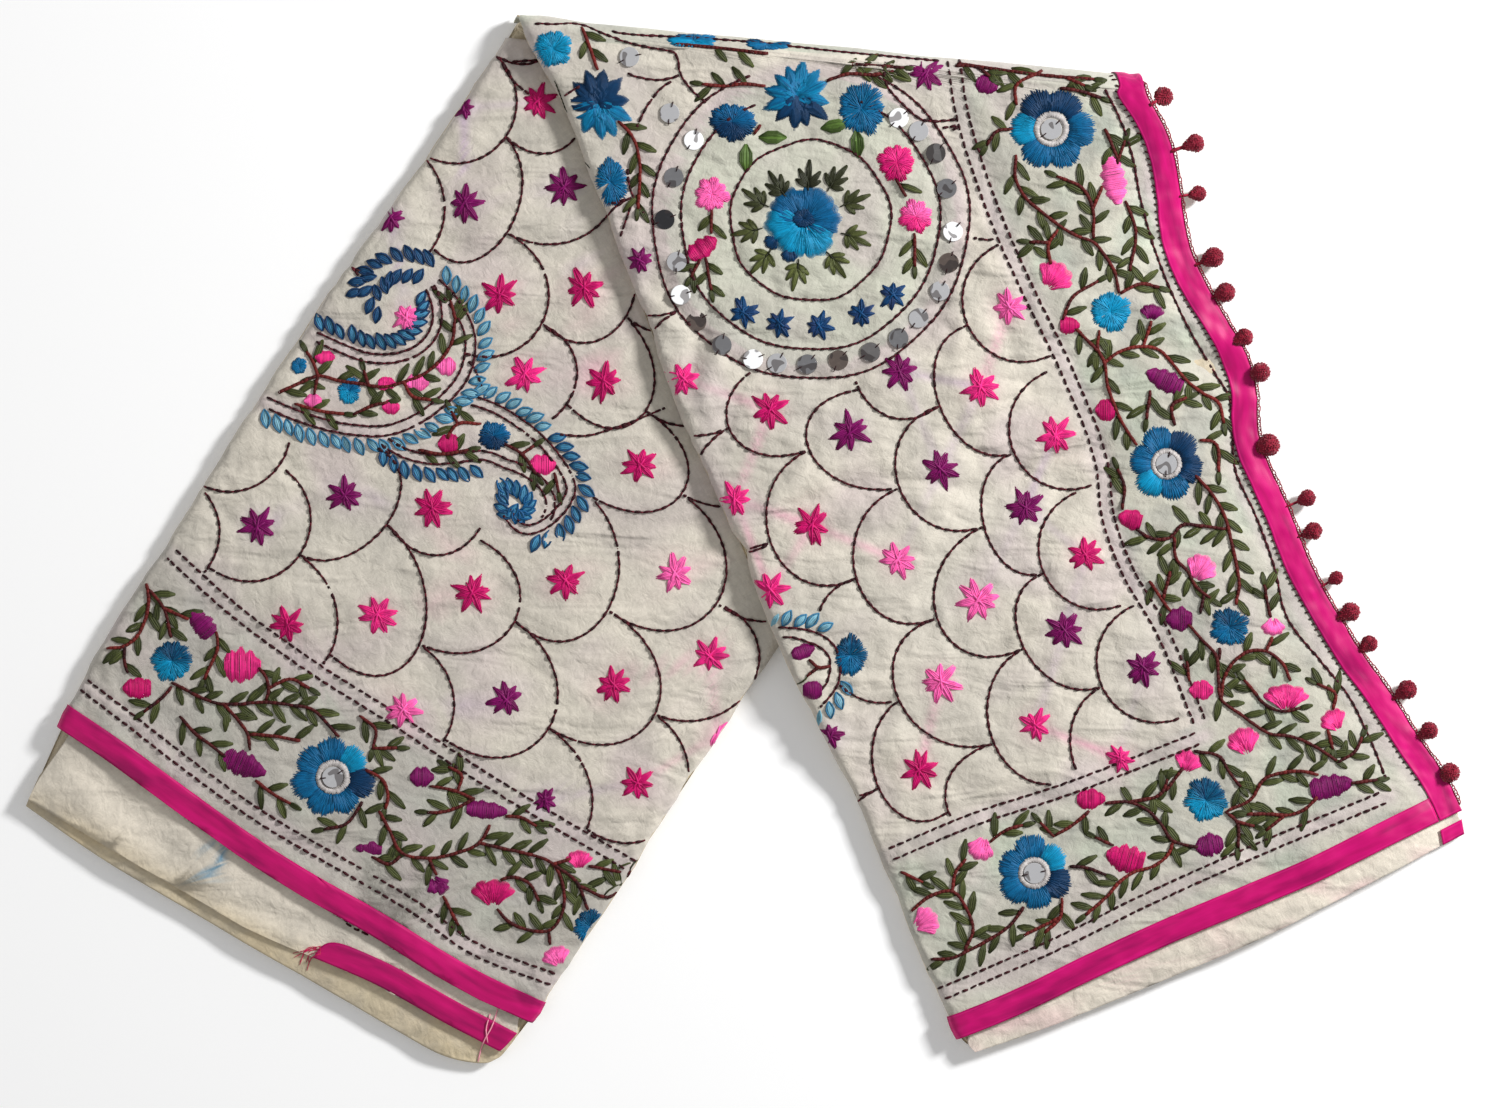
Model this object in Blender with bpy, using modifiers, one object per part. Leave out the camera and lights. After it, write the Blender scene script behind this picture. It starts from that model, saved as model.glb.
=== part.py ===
"""A kantha saree, folded lengthwise into a flat packet, laid down and turned over once.

The packet lies as an upturned V.  The left leg shows the body of the saree, the right leg comes
back over it from a slanting crease and shows the end piece, with its satin ribbons and pompoms.
Lengths and tables are in millimetres and become metres where a mesh is made.  Seen from above,
X runs to the right, Y up the page and Z towards the eye, and the packet rests on Z = 0.
"""
import math

import bmesh
import bpy
from mathutils import Euler, Vector

MM = 0.001
COLLECTION_NAME = "kantha_saree"

# Cloth: sixteen loose layers. The hidden ones are the core, the ones that show are walls.
CORE_THICKNESS = 9.7
WALL = 1.4
GAP = 0.3
LAYER_STEP = WALL + GAP
RIBBON_WALL = 0.8
RIBBON_WIDTH = 15.0

# Turn: the packet goes round an axis inside the crease, half a layer above the left leg's top.
CREASE_LEFT = Vector((-135.3, 316.5))
CREASE_RIGHT = Vector((235.5, 279.3))
TURN_INNER_RADIUS = 1.0
TURN_OUTER_RADIUS = TURN_INNER_RADIUS + CORE_THICKNESS
TURN_REACH = TURN_OUTER_RADIUS + LAYER_STEP
TURN_ROWS = 9
FACE_TURN_START = math.radians(40)
LOWER_SLIP = -6.0
UPPER_SLIP = 5.0
RISE = 2 * TURN_INNER_RADIUS + CORE_THICKNESS

# Where the right leg leaves the left one it comes down to the surface over a long slope.
SLOPE_START = 13.0
SLOPE_END = 84.0

# Edges of the legs from the crease down, as x, y.
BODY_LEFT_EDGE = [
    (-159.3, 277.5), (-254.1, 142.5), (-351.9, -7.5), (-398.1, -82.5), (-412.0, -111.3),
]
BODY_RIGHT_EDGE = [(17.7, -64.5), (-129.5, -287.7)]
PALLU_LEFT_EDGE = [
    (-115.5, 277.5), (-101.1, 241.5), (-84.9, 201.3), (-66.9, 153.3), (-42.9, 87.9),
    (-27.3, 49.5), (-4.5, 2.1), (20.1, -61.5), (37.5, -97.5), (53.7, -127.5),
    (74.7, -172.5), (99.3, -232.5), (128.1, -297.9),
]
PALLU_RIGHT_EDGE = [
    (247.3, 255.1), (255.7, 234.5), (260.9, 206.5), (266.3, 176.7), (276.9, 154.3),
    (291.7, 129.3), (304.9, 104.5), (307.9, 81.3), (306.7, 64.3), (316.3, 42.1),
    (326.5, 19.9), (338.5, -12.1), (355.9, -43.5), (370.9, -68.3), (386.5, -88.5),
    (402.1, -114.3), (423.1, -144.7), (430.5, -161.1),
]

# Ends of the layers, from the left corner to the right one, as x, y.
BODY_FACE_END = [
    (-412.0, -111.3), (-383.1, -130.5), (-339.9, -162.3), (-282.3, -202.5), (-224.7, -235.3),
    (-168.9, -269.7), (-129.5, -287.7),
]
BODY_SECOND_END = [
    (-432.3, -155.1), (-388.5, -181.5), (-339.9, -209.9), (-297.3, -234.5), (-257.1, -251.7),
    (-224.7, -265.1), (-186.9, -286.7), (-146.7, -307.5),
]
BODY_THIRD_END = [
    (-432.9, -158.1), (-390.9, -187.5), (-340.5, -217.5), (-288.9, -247.5), (-236.7, -277.5),
    (-184.5, -307.5), (-164.7, -316.5), (-146.5, -308.9),
]
PALLU_FACE_END = [
    (128.1, -297.9), (168.3, -281.7), (208.5, -261.7), (248.7, -243.3), (309.9, -217.5),
    (346.5, -202.1), (383.1, -183.3), (430.5, -161.1),
]
PALLU_SECOND_END = [
    (137.1, -306.3), (179.7, -291.9), (221.7, -274.9), (285.3, -248.6), (321.9, -232.0),
    (358.5, -213.2), (395.1, -194.1), (432.9, -174.9),
]

# Columns near an edge, as distance from the edge and drop below the flat.
FACE_ROLL = [(0.0, 4.5), (1.2, 2.0), (3.2, 0.6), (8.0, 0.0)]
CORE_ROLL = [(2.0, 3.5), (2.75, 1.5), (4.0, 0.65), (8.1, 0.0)]
CORE_FLAT_EDGE = [(2.2, 0.0), (3.2, 0.0), (4.8, 0.0), (8.1, 0.0)]
FACE_OPEN_EDGE = [(0.0, 0.0), (7.5, 0.0), (RIBBON_WIDTH, 0.0), (27.0, 0.0)]
CORE_OPEN_EDGE = [(3.2, 0.0), (7.5, 0.0), (RIBBON_WIDTH, 0.0), (27.0, 0.0)]
MIDDLE_COLUMNS = 12

# Folded edges inside the core, as distance from the edge and share of the depth from outside.
BODY_FOLDS = [(0.3, 0.11), (1.7, 0.23), (0.0, 0.33), (1.7, 0.43), (0.2, 0.54)]
PALLU_FOLDS = [(0.2, 0.46), (1.7, 0.57), (0.0, 0.67), (1.7, 0.77), (0.3, 0.89)]
OPEN_FOLDS = [(2.2, 0.22), (3.0, 0.38), (1.4, 0.56), (2.6, 0.74), (1.8, 0.90)]

# Rows along a leg: even ones down to the last stretch, then by distance from the face's end.
BODY_EVEN_ROWS = 12
PALLU_EVEN_ROWS = 24
LAST_ROWS = [48.0, 45.0, 30.0, RIBBON_WIDTH, 7.5, 0.0]
LAYER_ROWS = [45.0, 22.0, 0.0]
LAST_THREE = slice(-3, None)
LAYER_TUCK = 8.1
CORE_SETBACK = 5.0
FACE_START = 0.005
SHORT_RIBBON_COLUMN = 11

# The end piece thins towards its ribbon, because the layers under it stop short of each other.
OPEN_EDGE_THICKNESS = 3.0
OPEN_EDGE_WIDTH = 42.0
OPEN_EDGE_RUN = 70.0

# Broad soft swells of the right leg's top, as x, y, half length, half width, turn, height.
SWELLS = [
    (60.0, 176.0, 120.0, 26.0, 66.0, 1.3),
    (252.0, 60.0, 150.0, 18.0, 112.0, 1.1),
    (150.0, -60.0, 130.0, 24.0, 28.0, 0.9),
    (330.0, -90.0, 80.0, 20.0, 126.0, 1.0),
    (120.0, 60.0, 90.0, 20.0, 100.0, -0.8),
]

# Pompoms along the ribbon's outer edge, as distance from the crease and reach beyond the edge.
POMPOMS = [
    (7.0, 9.8), (36.0, 13.4), (65.0, 11.6), (107.0, 11.5), (131.0, 8.4), (160.0, 8.4),
    (182.0, 8.4), (227.0, 8.4), (266.0, 12.9), (285.0, 9.3), (318.0, 10.2), (340.0, 8.4),
    (363.0, 8.4), (398.0, 9.4), (426.0, 8.4), (454.0, 8.4),
]
POMPOM_CORE_RADIUS = 4.4
POMPOM_RADIUS = 6.0
POMPOM_LOCKS = 15
LOCK_TIP = 0.42
STEM_HALF_WIDTH = 0.55
STEM_SLACK = 13.0
FLOOR_CLEARANCE = 0.4
BRAID_GAP = 0.45
BRAID_WIDTH = 1.5
BRAID_HEIGHT = 1.7

# The braid comes in two lengths that butt where the end piece pulls in, by distance from the crease.
BRAID_JOIN = 205.0
BRAID_BUTT = 0.6

# The packet is moved so that the middle of its outline is over the origin.
PLAN_SHIFT = Vector((-0.35, -1.0, 0.0))

# Finishes, as colour, roughness and metallic value.
CLOTH = ((0.74, 0.69, 0.61), 0.85, 0.0)
INNER_CLOTH = ((0.62, 0.52, 0.40), 0.88, 0.0)
RIBBON = ((0.86, 0.02, 0.30), 0.32, 0.0)
YARN = ((0.27, 0.01, 0.05), 0.80, 0.0)


def smooth(value):
    """Go from 0 to 1 with level ends."""
    value = min(max(value, 0.0), 1.0)
    return value * value * (3 - 2 * value)


def mix(first, second, share):
    return first + (second - first) * share


def mix_table(first, second, share):
    """Blend two tables of distance and level row by row."""
    return [
        (mix(a[0], b[0], share), mix(a[1], b[1], share))
        for a, b in zip(first, second)
    ]


class Curve:
    """A smooth plane curve through a few points, read by its share of the length."""

    STEPS = 12

    def __init__(self, points):
        knots = [Vector(point) for point in points]
        tangents = self.tangents(knots)
        self.points = [knots[0]]
        for index in range(len(knots) - 1):
            for step in range(1, self.STEPS + 1):
                self.points.append(self.hermite(knots, tangents, index, step / self.STEPS))
        self.lengths = [0.0]
        for first, second in zip(self.points, self.points[1:]):
            self.lengths.append(self.lengths[-1] + (second - first).length)
        self.length = self.lengths[-1]

    @staticmethod
    def tangents(knots):
        """Directions at the knots, each weighted towards its shorter side."""
        runs = [second - first for first, second in zip(knots, knots[1:])]
        slopes = [run / run.length for run in runs]
        found = [slopes[0]]
        for index in range(1, len(knots) - 1):
            before = runs[index - 1].length
            after = runs[index].length
            blended = slopes[index - 1] * after + slopes[index] * before
            found.append(blended / (before + after))
        return found + [slopes[-1]]

    @staticmethod
    def hermite(knots, tangents, index, t):
        first = knots[index]
        last = knots[index + 1]
        span = (last - first).length
        start = tangents[index] * span
        end = tangents[index + 1] * span
        square = t * t
        cube = square * t
        return (
            first * (2 * cube - 3 * square + 1) + start * (cube - 2 * square + t)
            + last * (3 * square - 2 * cube) + end * (cube - square)
        )

    def at(self, share):
        target = min(max(share, 0.0), 1.0) * self.length
        for index in range(1, len(self.points)):
            if self.lengths[index] >= target:
                span = self.lengths[index] - self.lengths[index - 1]
                part = (target - self.lengths[index - 1]) / span
                return self.points[index - 1].lerp(self.points[index], part)
        return self.points[-1].copy()


# The axis of the turn lies inside the crease by the packet's reach.
AXIS_DIRECTION = (CREASE_RIGHT - CREASE_LEFT).normalized()
OUTWARD = Vector((-AXIS_DIRECTION.y, AXIS_DIRECTION.x))
AXIS_LEFT = CREASE_LEFT - OUTWARD * TURN_REACH
AXIS_RIGHT = CREASE_RIGHT - OUTWARD * TURN_REACH
AXIS_HEIGHT = TURN_OUTER_RADIUS


def axis_point(across, slip):
    """A point on the turn's axis, slid along it as the cloth slides on its way round."""
    return AXIS_LEFT.lerp(AXIS_RIGHT, across) + AXIS_DIRECTION * slip


class Leg:
    """One leg of the packet, as a net of points seen from above."""

    def __init__(self, slip, left_edge, right_edge, face_end, last_end, even_rows):
        self.slip = slip
        self.left = Curve([axis_point(0, slip)] + left_edge)
        self.right = Curve([axis_point(1, slip)] + right_edge)
        self.end = Curve(face_end)
        self.last_end = Curve(last_end)
        self.even_rows = even_rows

    def inside(self, across, along):
        """Blend the four edges of the leg's face (a Coons patch)."""
        start = axis_point(across, self.slip)
        end = self.end.at(across)
        sides = self.left.at(along).lerp(self.right.at(along), across)
        ends = start.lerp(end, along)
        first = axis_point(0, self.slip).lerp(axis_point(1, self.slip), across)
        last = self.end.at(0).lerp(self.end.at(1), across)
        return sides + ends - first.lerp(last, along)

    def length(self, across):
        return (self.end.at(across) - axis_point(across, self.slip)).length

    def before_end(self, across, distance):
        return self.inside(across, 1 - distance / self.length(across))

    def beyond(self, across, end, setback):
        """A point past the face's end, short of a lower layer's end by the setback."""
        first = self.end.at(across)
        last = end.at(across)
        reach = (last - first).length
        return first.lerp(last, max(1 - setback / reach, 0.02))

    def face_rows(self):
        """Rows of the face, each a function of the share of the way across."""
        rows = []
        for index in range(self.even_rows):
            share = index / self.even_rows
            rows.append(self.even_row(share))
        for distance in LAST_ROWS:
            rows.append(self.end_row(distance))
        return rows

    def even_row(self, share):
        def row(across):
            reach = 1 - LAST_ROWS[0] / self.length(across)
            return self.inside(across, share * reach)
        return row

    def end_row(self, distance):
        return lambda across: self.before_end(across, distance)

    def beyond_row(self, end, setback):
        return lambda across: self.beyond(across, end, setback)


BODY = Leg(LOWER_SLIP, BODY_LEFT_EDGE, BODY_RIGHT_EDGE, BODY_FACE_END, BODY_THIRD_END,
           BODY_EVEN_ROWS)
PALLU = Leg(UPPER_SLIP, PALLU_LEFT_EDGE, PALLU_RIGHT_EDGE, PALLU_FACE_END, PALLU_SECOND_END,
            PALLU_EVEN_ROWS)


def column_shares(row, next_row, left_distances, right_distances):
    """Shares of the way across a row that lie at given square distances from its edges."""
    start = row(0)
    end = row(1)
    chord = end - start
    width = chord.length
    direction = chord / width
    left_lean = lean(direction, next_row(0) - start)
    right_lean = lean(direction, next_row(1) - end)
    shares = [distance / (left_lean * width) for distance in left_distances]
    last = [1 - distance / (right_lean * width) for distance in right_distances]
    first_middle = shares[-1]
    last_middle = last[-1]
    for index in range(1, MIDDLE_COLUMNS + 1):
        shares.append(mix(first_middle, last_middle, index / (MIDDLE_COLUMNS + 1)))
    return shares + last[::-1]


def lean(direction, edge):
    """Sine of the angle between a row and the edge that it meets."""
    if edge.length < 1e-6:
        return 1.0
    edge = edge.normalized()
    return max(abs(direction.x * edge.y - direction.y * edge.x), 0.6)


def distances(table):
    return [entry[0] for entry in table]


def drops(left_table, right_table):
    """Drop of each column: the left edge's, none in the middle, the right edge's."""
    left = [entry[1] for entry in left_table]
    right = [entry[1] for entry in right_table]
    return left + [0.0] * MIDDLE_COLUMNS + right[::-1]


def base_height(point):
    """Height of the right leg's underside: on the left leg, down the slope, on the surface."""
    start = axis_point(1, LOWER_SLIP)
    edge = (Vector(BODY_RIGHT_EDGE[0]) - start).normalized()
    outside = Vector((-edge.y, edge.x))
    distance = outside.dot(point - start)
    return RISE * (1 - smooth((distance - SLOPE_START) / (SLOPE_END - SLOPE_START)))


def swell(point):
    """Soft unevenness of the right leg's top."""
    height = 0.0
    for x, y, half_length, half_width, turn, amount in SWELLS:
        offset = point - Vector((x, y))
        angle = math.radians(turn)
        along = (offset.x * math.cos(angle) + offset.y * math.sin(angle)) / half_length
        aside = (offset.y * math.cos(angle) - offset.x * math.sin(angle)) / half_width
        height += amount * math.exp(-along * along - aside * aside)
    return height


def pallu_thickness(point, from_edge, from_crease):
    """Thickness of the layers under the end piece, less towards its open edge."""
    thinned = smooth(from_crease / OPEN_EDGE_RUN)
    full = smooth(from_edge / OPEN_EDGE_WIDTH)
    wave = 0.6 * math.sin(from_crease / 31.0) + 0.5 * math.sin(from_crease / 17.0 + 1.2)
    edge_thickness = OPEN_EDGE_THICKNESS + wave * thinned
    open_thickness = mix(edge_thickness, CORE_THICKNESS, full)
    return mix(CORE_THICKNESS, open_thickness, thinned) + swell(point) * thinned


def pallu_top(row, share):
    """Height of the layers under the end piece at one point of a row."""
    point = row(share)
    from_edge = (row(1) - point).length
    from_crease = OUTWARD.dot(AXIS_RIGHT - point)
    return base_height(point) + pallu_thickness(point, from_edge, from_crease)


def turned(across, angle, radius):
    """A point of the turn: angle 0 is under the left leg, half a turn is over the right."""
    slip = mix(LOWER_SLIP, UPPER_SLIP, angle / math.pi)
    centre = axis_point(across, slip)
    plan = centre + OUTWARD * (radius * math.sin(angle))
    return Vector((plan.x, plan.y, AXIS_HEIGHT - radius * math.cos(angle)))


def lifted(point, height):
    return Vector((point.x, point.y, height))


def core_tables(blend):
    """Column and fold tables of the core, from the left leg's (0) to the right leg's (1)."""
    return {
        "outer_left": mix_table(CORE_FLAT_EDGE, CORE_ROLL, blend),
        "inner_left": mix_table(CORE_ROLL, CORE_FLAT_EDGE, blend),
        "outer_right": mix_table(CORE_FLAT_EDGE, CORE_OPEN_EDGE, blend),
        "inner_right": mix_table(CORE_ROLL, CORE_OPEN_EDGE, blend),
        "left_folds": mix_table(BODY_FOLDS, PALLU_FOLDS, blend),
        "right_folds": mix_table(BODY_FOLDS, OPEN_FOLDS, blend),
    }


def core_ring(row, next_row, blend, outer_height, inner_height, place):
    """One closed ring round the core: outer side, right folds, inner side, left folds.

    The heights are functions of the share across, and place makes a point of a share and the
    depth, which runs from the outer side to the inner one.
    """
    tables = core_tables(blend)
    outer_shares = column_shares(row, next_row, distances(tables["outer_left"]),
                                 distances(tables["outer_right"]))
    inner_shares = column_shares(row, next_row, distances(tables["inner_left"]),
                                 distances(tables["inner_right"]))
    outer_drops = drops(tables["outer_left"], tables["outer_right"])
    inner_drops = drops(tables["inner_left"], tables["inner_right"])
    left_folds = column_shares(row, next_row, distances(tables["left_folds"]), [0.0])
    right_folds = column_shares(row, next_row, [0.0], distances(tables["right_folds"]))
    ring = []
    for share, drop in zip(outer_shares, outer_drops):
        depth = inner_height(share) - outer_height(share)
        ring.append(place(share, outer_height(share) + drop * depth / CORE_THICKNESS))
    for share, fold in zip(right_folds[:-len(OPEN_FOLDS) - 1:-1], tables["right_folds"]):
        ring.append(place(share, mix(outer_height(share), inner_height(share), fold[1])))
    for share, drop in reversed(list(zip(inner_shares, inner_drops))):
        depth = inner_height(share) - outer_height(share)
        ring.append(place(share, inner_height(share) - drop * depth / CORE_THICKNESS))
    for share, fold in reversed(list(zip(left_folds, tables["left_folds"]))):
        ring.append(place(share, mix(outer_height(share), inner_height(share), fold[1])))
    return ring


def neighbours(rows):
    """The row after each row, and the one before the last."""
    return rows[1:] + [rows[-2]]


def leg_core_rings(rows, lowerings, blend, outer, inner):
    """Rings of one leg, with the outer and inner heights as functions of row, share, lowering."""
    rings = []
    for row, neighbour, lowering in zip(rows, neighbours(rows), lowerings):
        rings.append(core_ring(
            row, neighbour, blend,
            lambda share: outer(row, share, lowering),
            lambda share: inner(row, share, lowering),
            lambda share, height: lifted(row(share), height),
        ))
    return rings


def body_core_rings():
    """Rings of the left leg from its far end up to the turn."""
    rows = BODY.face_rows()
    rows.append(BODY.beyond_row(BODY.last_end, 3 * CORE_SETBACK))
    rows.append(BODY.beyond_row(BODY.last_end, CORE_SETBACK))
    lowerings = [0.0] * (BODY.even_rows + 1)
    lowerings += [2 * LAYER_STEP] * len(LAST_ROWS)
    lowerings.append(3 * LAYER_STEP)

    def underside(row, share, lowering):
        return 0.0

    def top(row, share, lowering):
        return CORE_THICKNESS - lowering

    return leg_core_rings(rows, lowerings, 0.0, underside, top)[::-1]


def turn_core_rings():
    """Rings round the crease."""
    rings = []
    for index in range(1, TURN_ROWS):
        angle = math.pi * index / TURN_ROWS

        def row(share, angle=angle):
            return axis_point(share, mix(LOWER_SLIP, UPPER_SLIP, angle / math.pi))

        def next_row(share, row=row):
            return row(share) + OUTWARD

        def outer(share):
            return 0.0

        def inner(share):
            return CORE_THICKNESS

        def place(share, height, angle=angle):
            return turned(share, angle, TURN_OUTER_RADIUS - height)

        rings.append(core_ring(row, next_row, smooth(angle / math.pi), outer, inner, place))
    return rings


def pallu_core_rings():
    """Rings of the right leg from the turn to its end."""
    rows = PALLU.face_rows()
    rows.append(PALLU.beyond_row(PALLU.last_end, CORE_SETBACK))
    lowerings = [0.0] * (PALLU.even_rows + 1) + [LAYER_STEP] * len(LAST_ROWS)

    def top(row, share, lowering):
        return pallu_top(row, share) - lowering

    def underside(row, share, lowering):
        return base_height(row(share))

    return leg_core_rings(rows, lowerings, 1.0, top, underside)


def wall_grid(rows, top, lift, left_tables, right_tables):
    """Points of a wall on one leg, at one lift above the layers under it."""
    grid = []
    for row, neighbour, left, right in zip(rows, neighbours(rows), left_tables, right_tables):
        shares = column_shares(row, neighbour, distances(left), distances(right))
        line = []
        for share, drop in zip(shares, drops(left, right)):
            line.append(lifted(row(share), top(row, share) + lift - drop))
        grid.append(line)
    return grid


def turn_face_grid():
    """Points of the end piece's face where it goes round the crease."""
    grid = []
    for index in range(TURN_ROWS):
        angle = mix(FACE_TURN_START, math.pi, index / TURN_ROWS)
        blend = smooth(angle / math.pi)

        def row(share, angle=angle):
            return axis_point(share, mix(LOWER_SLIP, UPPER_SLIP, angle / math.pi))

        def next_row(share, row=row):
            return row(share) + OUTWARD

        flat = [(distance, 0.0) for distance in distances(FACE_ROLL)]
        left = mix_table(flat, FACE_ROLL, blend)
        shares = column_shares(row, next_row, distances(left), distances(FACE_OPEN_EDGE))
        line = []
        for share, drop in zip(shares, drops(left, FACE_OPEN_EDGE)):
            line.append(turned(share, angle, TURN_REACH - drop))
        grid.append(line)
    return grid


def tucked(distance):
    """Even columns at an edge, from a given distance in."""
    return [(distance + extra, 0.0) for extra in (0.0, 2.0, 5.0, 10.0)]


def object_from_mesh(name, build_mesh, finish, collection):
    """Make an object from a filled bmesh, with its own material."""
    mesh = bpy.data.meshes.new(name)
    build_mesh.to_mesh(mesh)
    build_mesh.free()
    colour, roughness, metallic = finish
    material = bpy.data.materials.new(name)
    material.use_nodes = True
    shader = material.node_tree.nodes["Principled BSDF"]
    shader.inputs["Base Color"].default_value = (*colour, 1.0)
    shader.inputs["Roughness"].default_value = roughness
    shader.inputs["Metallic"].default_value = metallic
    mesh.materials.append(material)
    mesh.shade_smooth()
    mesh.set_sharp_from_angle(angle=math.radians(40))
    made = bpy.data.objects.new(name, mesh)
    made.location = PLAN_SHIFT * MM
    collection.objects.link(made)
    return made


def grid_mesh(grid):
    """An open surface through rows of points, facing up."""
    surface = bmesh.new()
    lines = [[surface.verts.new(point * MM) for point in line] for line in grid]
    for first, second in zip(lines, lines[1:]):
        for column in range(len(first) - 1):
            surface.faces.new((
                first[column], second[column], second[column + 1], first[column + 1],
            ))
    surface.normal_update()
    return surface


def add_wall(name, grid, thickness, inward, finish, collection):
    """A cloth wall: the grid is its outer side if it thickens inward, else its inner side."""
    made = object_from_mesh(name, grid_mesh(grid), finish, collection)
    wall = made.modifiers.new("thickness", "SOLIDIFY")
    wall.thickness = thickness * MM
    wall.offset = -1.0 if inward else 1.0
    wall.use_even_offset = True
    wall.use_rim = True
    return made


def moved_out(grid, distance):
    """The same grid, moved out along its own surface's normals."""
    surface = grid_mesh(grid)
    surface.verts.ensure_lookup_table()
    moved = []
    index = 0
    for line in grid:
        new_line = []
        for point in line:
            new_line.append(point + surface.verts[index].normal * distance)
            index += 1
        moved.append(new_line)
    surface.free()
    return moved


def part_of(grid, rows, columns):
    return [line[columns] for line in grid[rows]]


def add_core(collection):
    """The hidden layers of both legs and the turn, as one solid with ridged sides."""
    rings = body_core_rings() + turn_core_rings() + pallu_core_rings()
    solid = bmesh.new()
    loops = [[solid.verts.new(point * MM) for point in ring] for ring in rings]
    count = len(loops[0])
    for first, second in zip(loops, loops[1:]):
        for index in range(count):
            following = (index + 1) % count
            solid.faces.new((first[index], first[following], second[following], second[index]))
    close_core_end(solid, loops[0])
    close_core_end(solid, loops[-1])
    bmesh.ops.recalc_face_normals(solid, faces=solid.faces[:])
    return object_from_mesh("inner_layers", solid, INNER_CLOTH, collection)


def close_core_end(solid, loop):
    """Close an end of the core between its outer and inner columns."""
    columns = 2 * len(CORE_ROLL) + MIDDLE_COLUMNS
    folds = len(BODY_FOLDS)
    outer = loop[:columns]
    right = loop[columns:columns + folds]
    inner = loop[columns + folds:2 * columns + folds][::-1]
    left = loop[2 * columns + folds:]
    for index in range(columns - 1):
        solid.faces.new((outer[index], outer[index + 1], inner[index + 1], inner[index]))
    solid.faces.new([outer[-1]] + right + [inner[-1]])
    solid.faces.new([inner[0]] + left + [outer[0]])


def add_body_layers(collection):
    """The left leg's face, the two layers that show past its end, and their ribbons."""
    rows = [BODY.even_row(FACE_START)] + BODY.face_rows()[1:]
    rolls = [FACE_ROLL] * len(rows)
    face = wall_grid(rows, body_top, LAYER_STEP, rolls, rolls)
    add_wall("body_face", face, WALL, True, CLOTH, collection)
    trimmed = part_of(moved_out(face, GAP), LAST_THREE, slice(None))
    add_wall("ribbon_body_edge", trimmed, RIBBON_WALL, False, RIBBON, collection)

    second_end = Curve(BODY_SECOND_END)
    tucked_rows = [BODY.end_row(distance) for distance in LAYER_ROWS]
    rows = tucked_rows + [BODY.beyond_row(second_end, setback) for setback in (16.5, 9.0, 1.5)]
    tucks = [tucked(LAYER_TUCK)] * len(LAYER_ROWS) + [tucked(1.2)] * 3
    second = wall_grid(rows, body_top, 0.0, tucks, tucks)
    add_wall("body_second_layer", second, WALL, True, CLOTH, collection)
    trimmed = part_of(lift_grid(second, GAP), LAST_THREE, slice(SHORT_RIBBON_COLUMN, None))
    add_wall("ribbon_body_second", trimmed, RIBBON_WALL, False, RIBBON, collection)

    rows = tucked_rows + [BODY.beyond_row(BODY.last_end, setback) for setback in (20.0, 10.0, 0.0)]
    tucks = [tucked(LAYER_TUCK)] * len(LAYER_ROWS) + [tucked(0.5)] * 3
    third = wall_grid(rows, body_top, -LAYER_STEP, tucks, tucks)
    for point in third[-1]:
        point.z -= WALL
    add_wall("body_third_layer", third, WALL, True, INNER_CLOTH, collection)


def body_top(row, share):
    """Height of the layers under the left leg's face, which lie level."""
    return CORE_THICKNESS


def lift_grid(grid, distance):
    return [[point + Vector((0, 0, distance)) for point in line] for line in grid]


def add_pallu_layers(collection):
    """The end piece over the crease and down the right leg, and what shows past its end."""
    rows = PALLU.face_rows()
    leg_grid = wall_grid(rows, pallu_top, LAYER_STEP,
                         [FACE_ROLL] * len(rows), [FACE_OPEN_EDGE] * len(rows))
    face = turn_face_grid() + leg_grid
    add_wall("pallu_face", face, WALL, True, CLOTH, collection)

    outside = moved_out(face, GAP)
    add_wall("ribbon_pallu_end", part_of(outside, slice(1, None), LAST_THREE),
             RIBBON_WALL, False, RIBBON, collection)
    hem = []
    for line in outside[LAST_THREE]:
        clear = (line[-4] - line[-3]).normalized() * 2 * GAP
        hem.append(line[:-3] + [line[-3] + clear])
    add_wall("ribbon_pallu_edge", hem, RIBBON_WALL, False, RIBBON, collection)

    rows = [PALLU.end_row(distance) for distance in LAYER_ROWS]
    rows += [PALLU.beyond_row(PALLU.last_end, setback) for setback in (9.0, 0.0)]
    left = [tucked(LAYER_TUCK)] * len(LAYER_ROWS) + [tucked(0.8)] * 2
    open_tuck = [(3.4, 0.0)] + FACE_OPEN_EDGE[1:]
    open_end = [(0.8, 0.0)] + FACE_OPEN_EDGE[1:]
    right = [open_tuck] * len(LAYER_ROWS) + [open_end] * 2
    second = wall_grid(rows, pallu_top, 0.0, left, right)
    add_wall("pallu_second_layer", second, WALL, True, INNER_CLOTH, collection)
    corner = part_of(lift_grid(second, GAP), slice(-2, None), LAST_THREE)
    add_wall("ribbon_corner_return", corner, RIBBON_WALL, False, RIBBON, collection)
    return leg_grid


def edge_line(leg_grid):
    """The end piece's outer edge as points with heights, and its length along each."""
    points = [line[-1] for line in leg_grid]
    lengths = [0.0]
    for first, second in zip(points, points[1:]):
        lengths.append(lengths[-1] + (second - first).length)
    return points, lengths


def along_edge(points, lengths, distance):
    """Point and outward direction on the edge at a distance from the crease."""
    for index in range(1, len(points)):
        if lengths[index] >= distance or index == len(points) - 1:
            span = lengths[index] - lengths[index - 1]
            share = min((distance - lengths[index - 1]) / span, 1.0)
            point = points[index - 1].lerp(points[index], share)
            run = points[index] - points[index - 1]
            outward = Vector((-run.y, run.x, 0.0)).normalized()
            return point, outward
    return points[-1], Vector((1.0, 0.0, 0.0))


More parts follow.
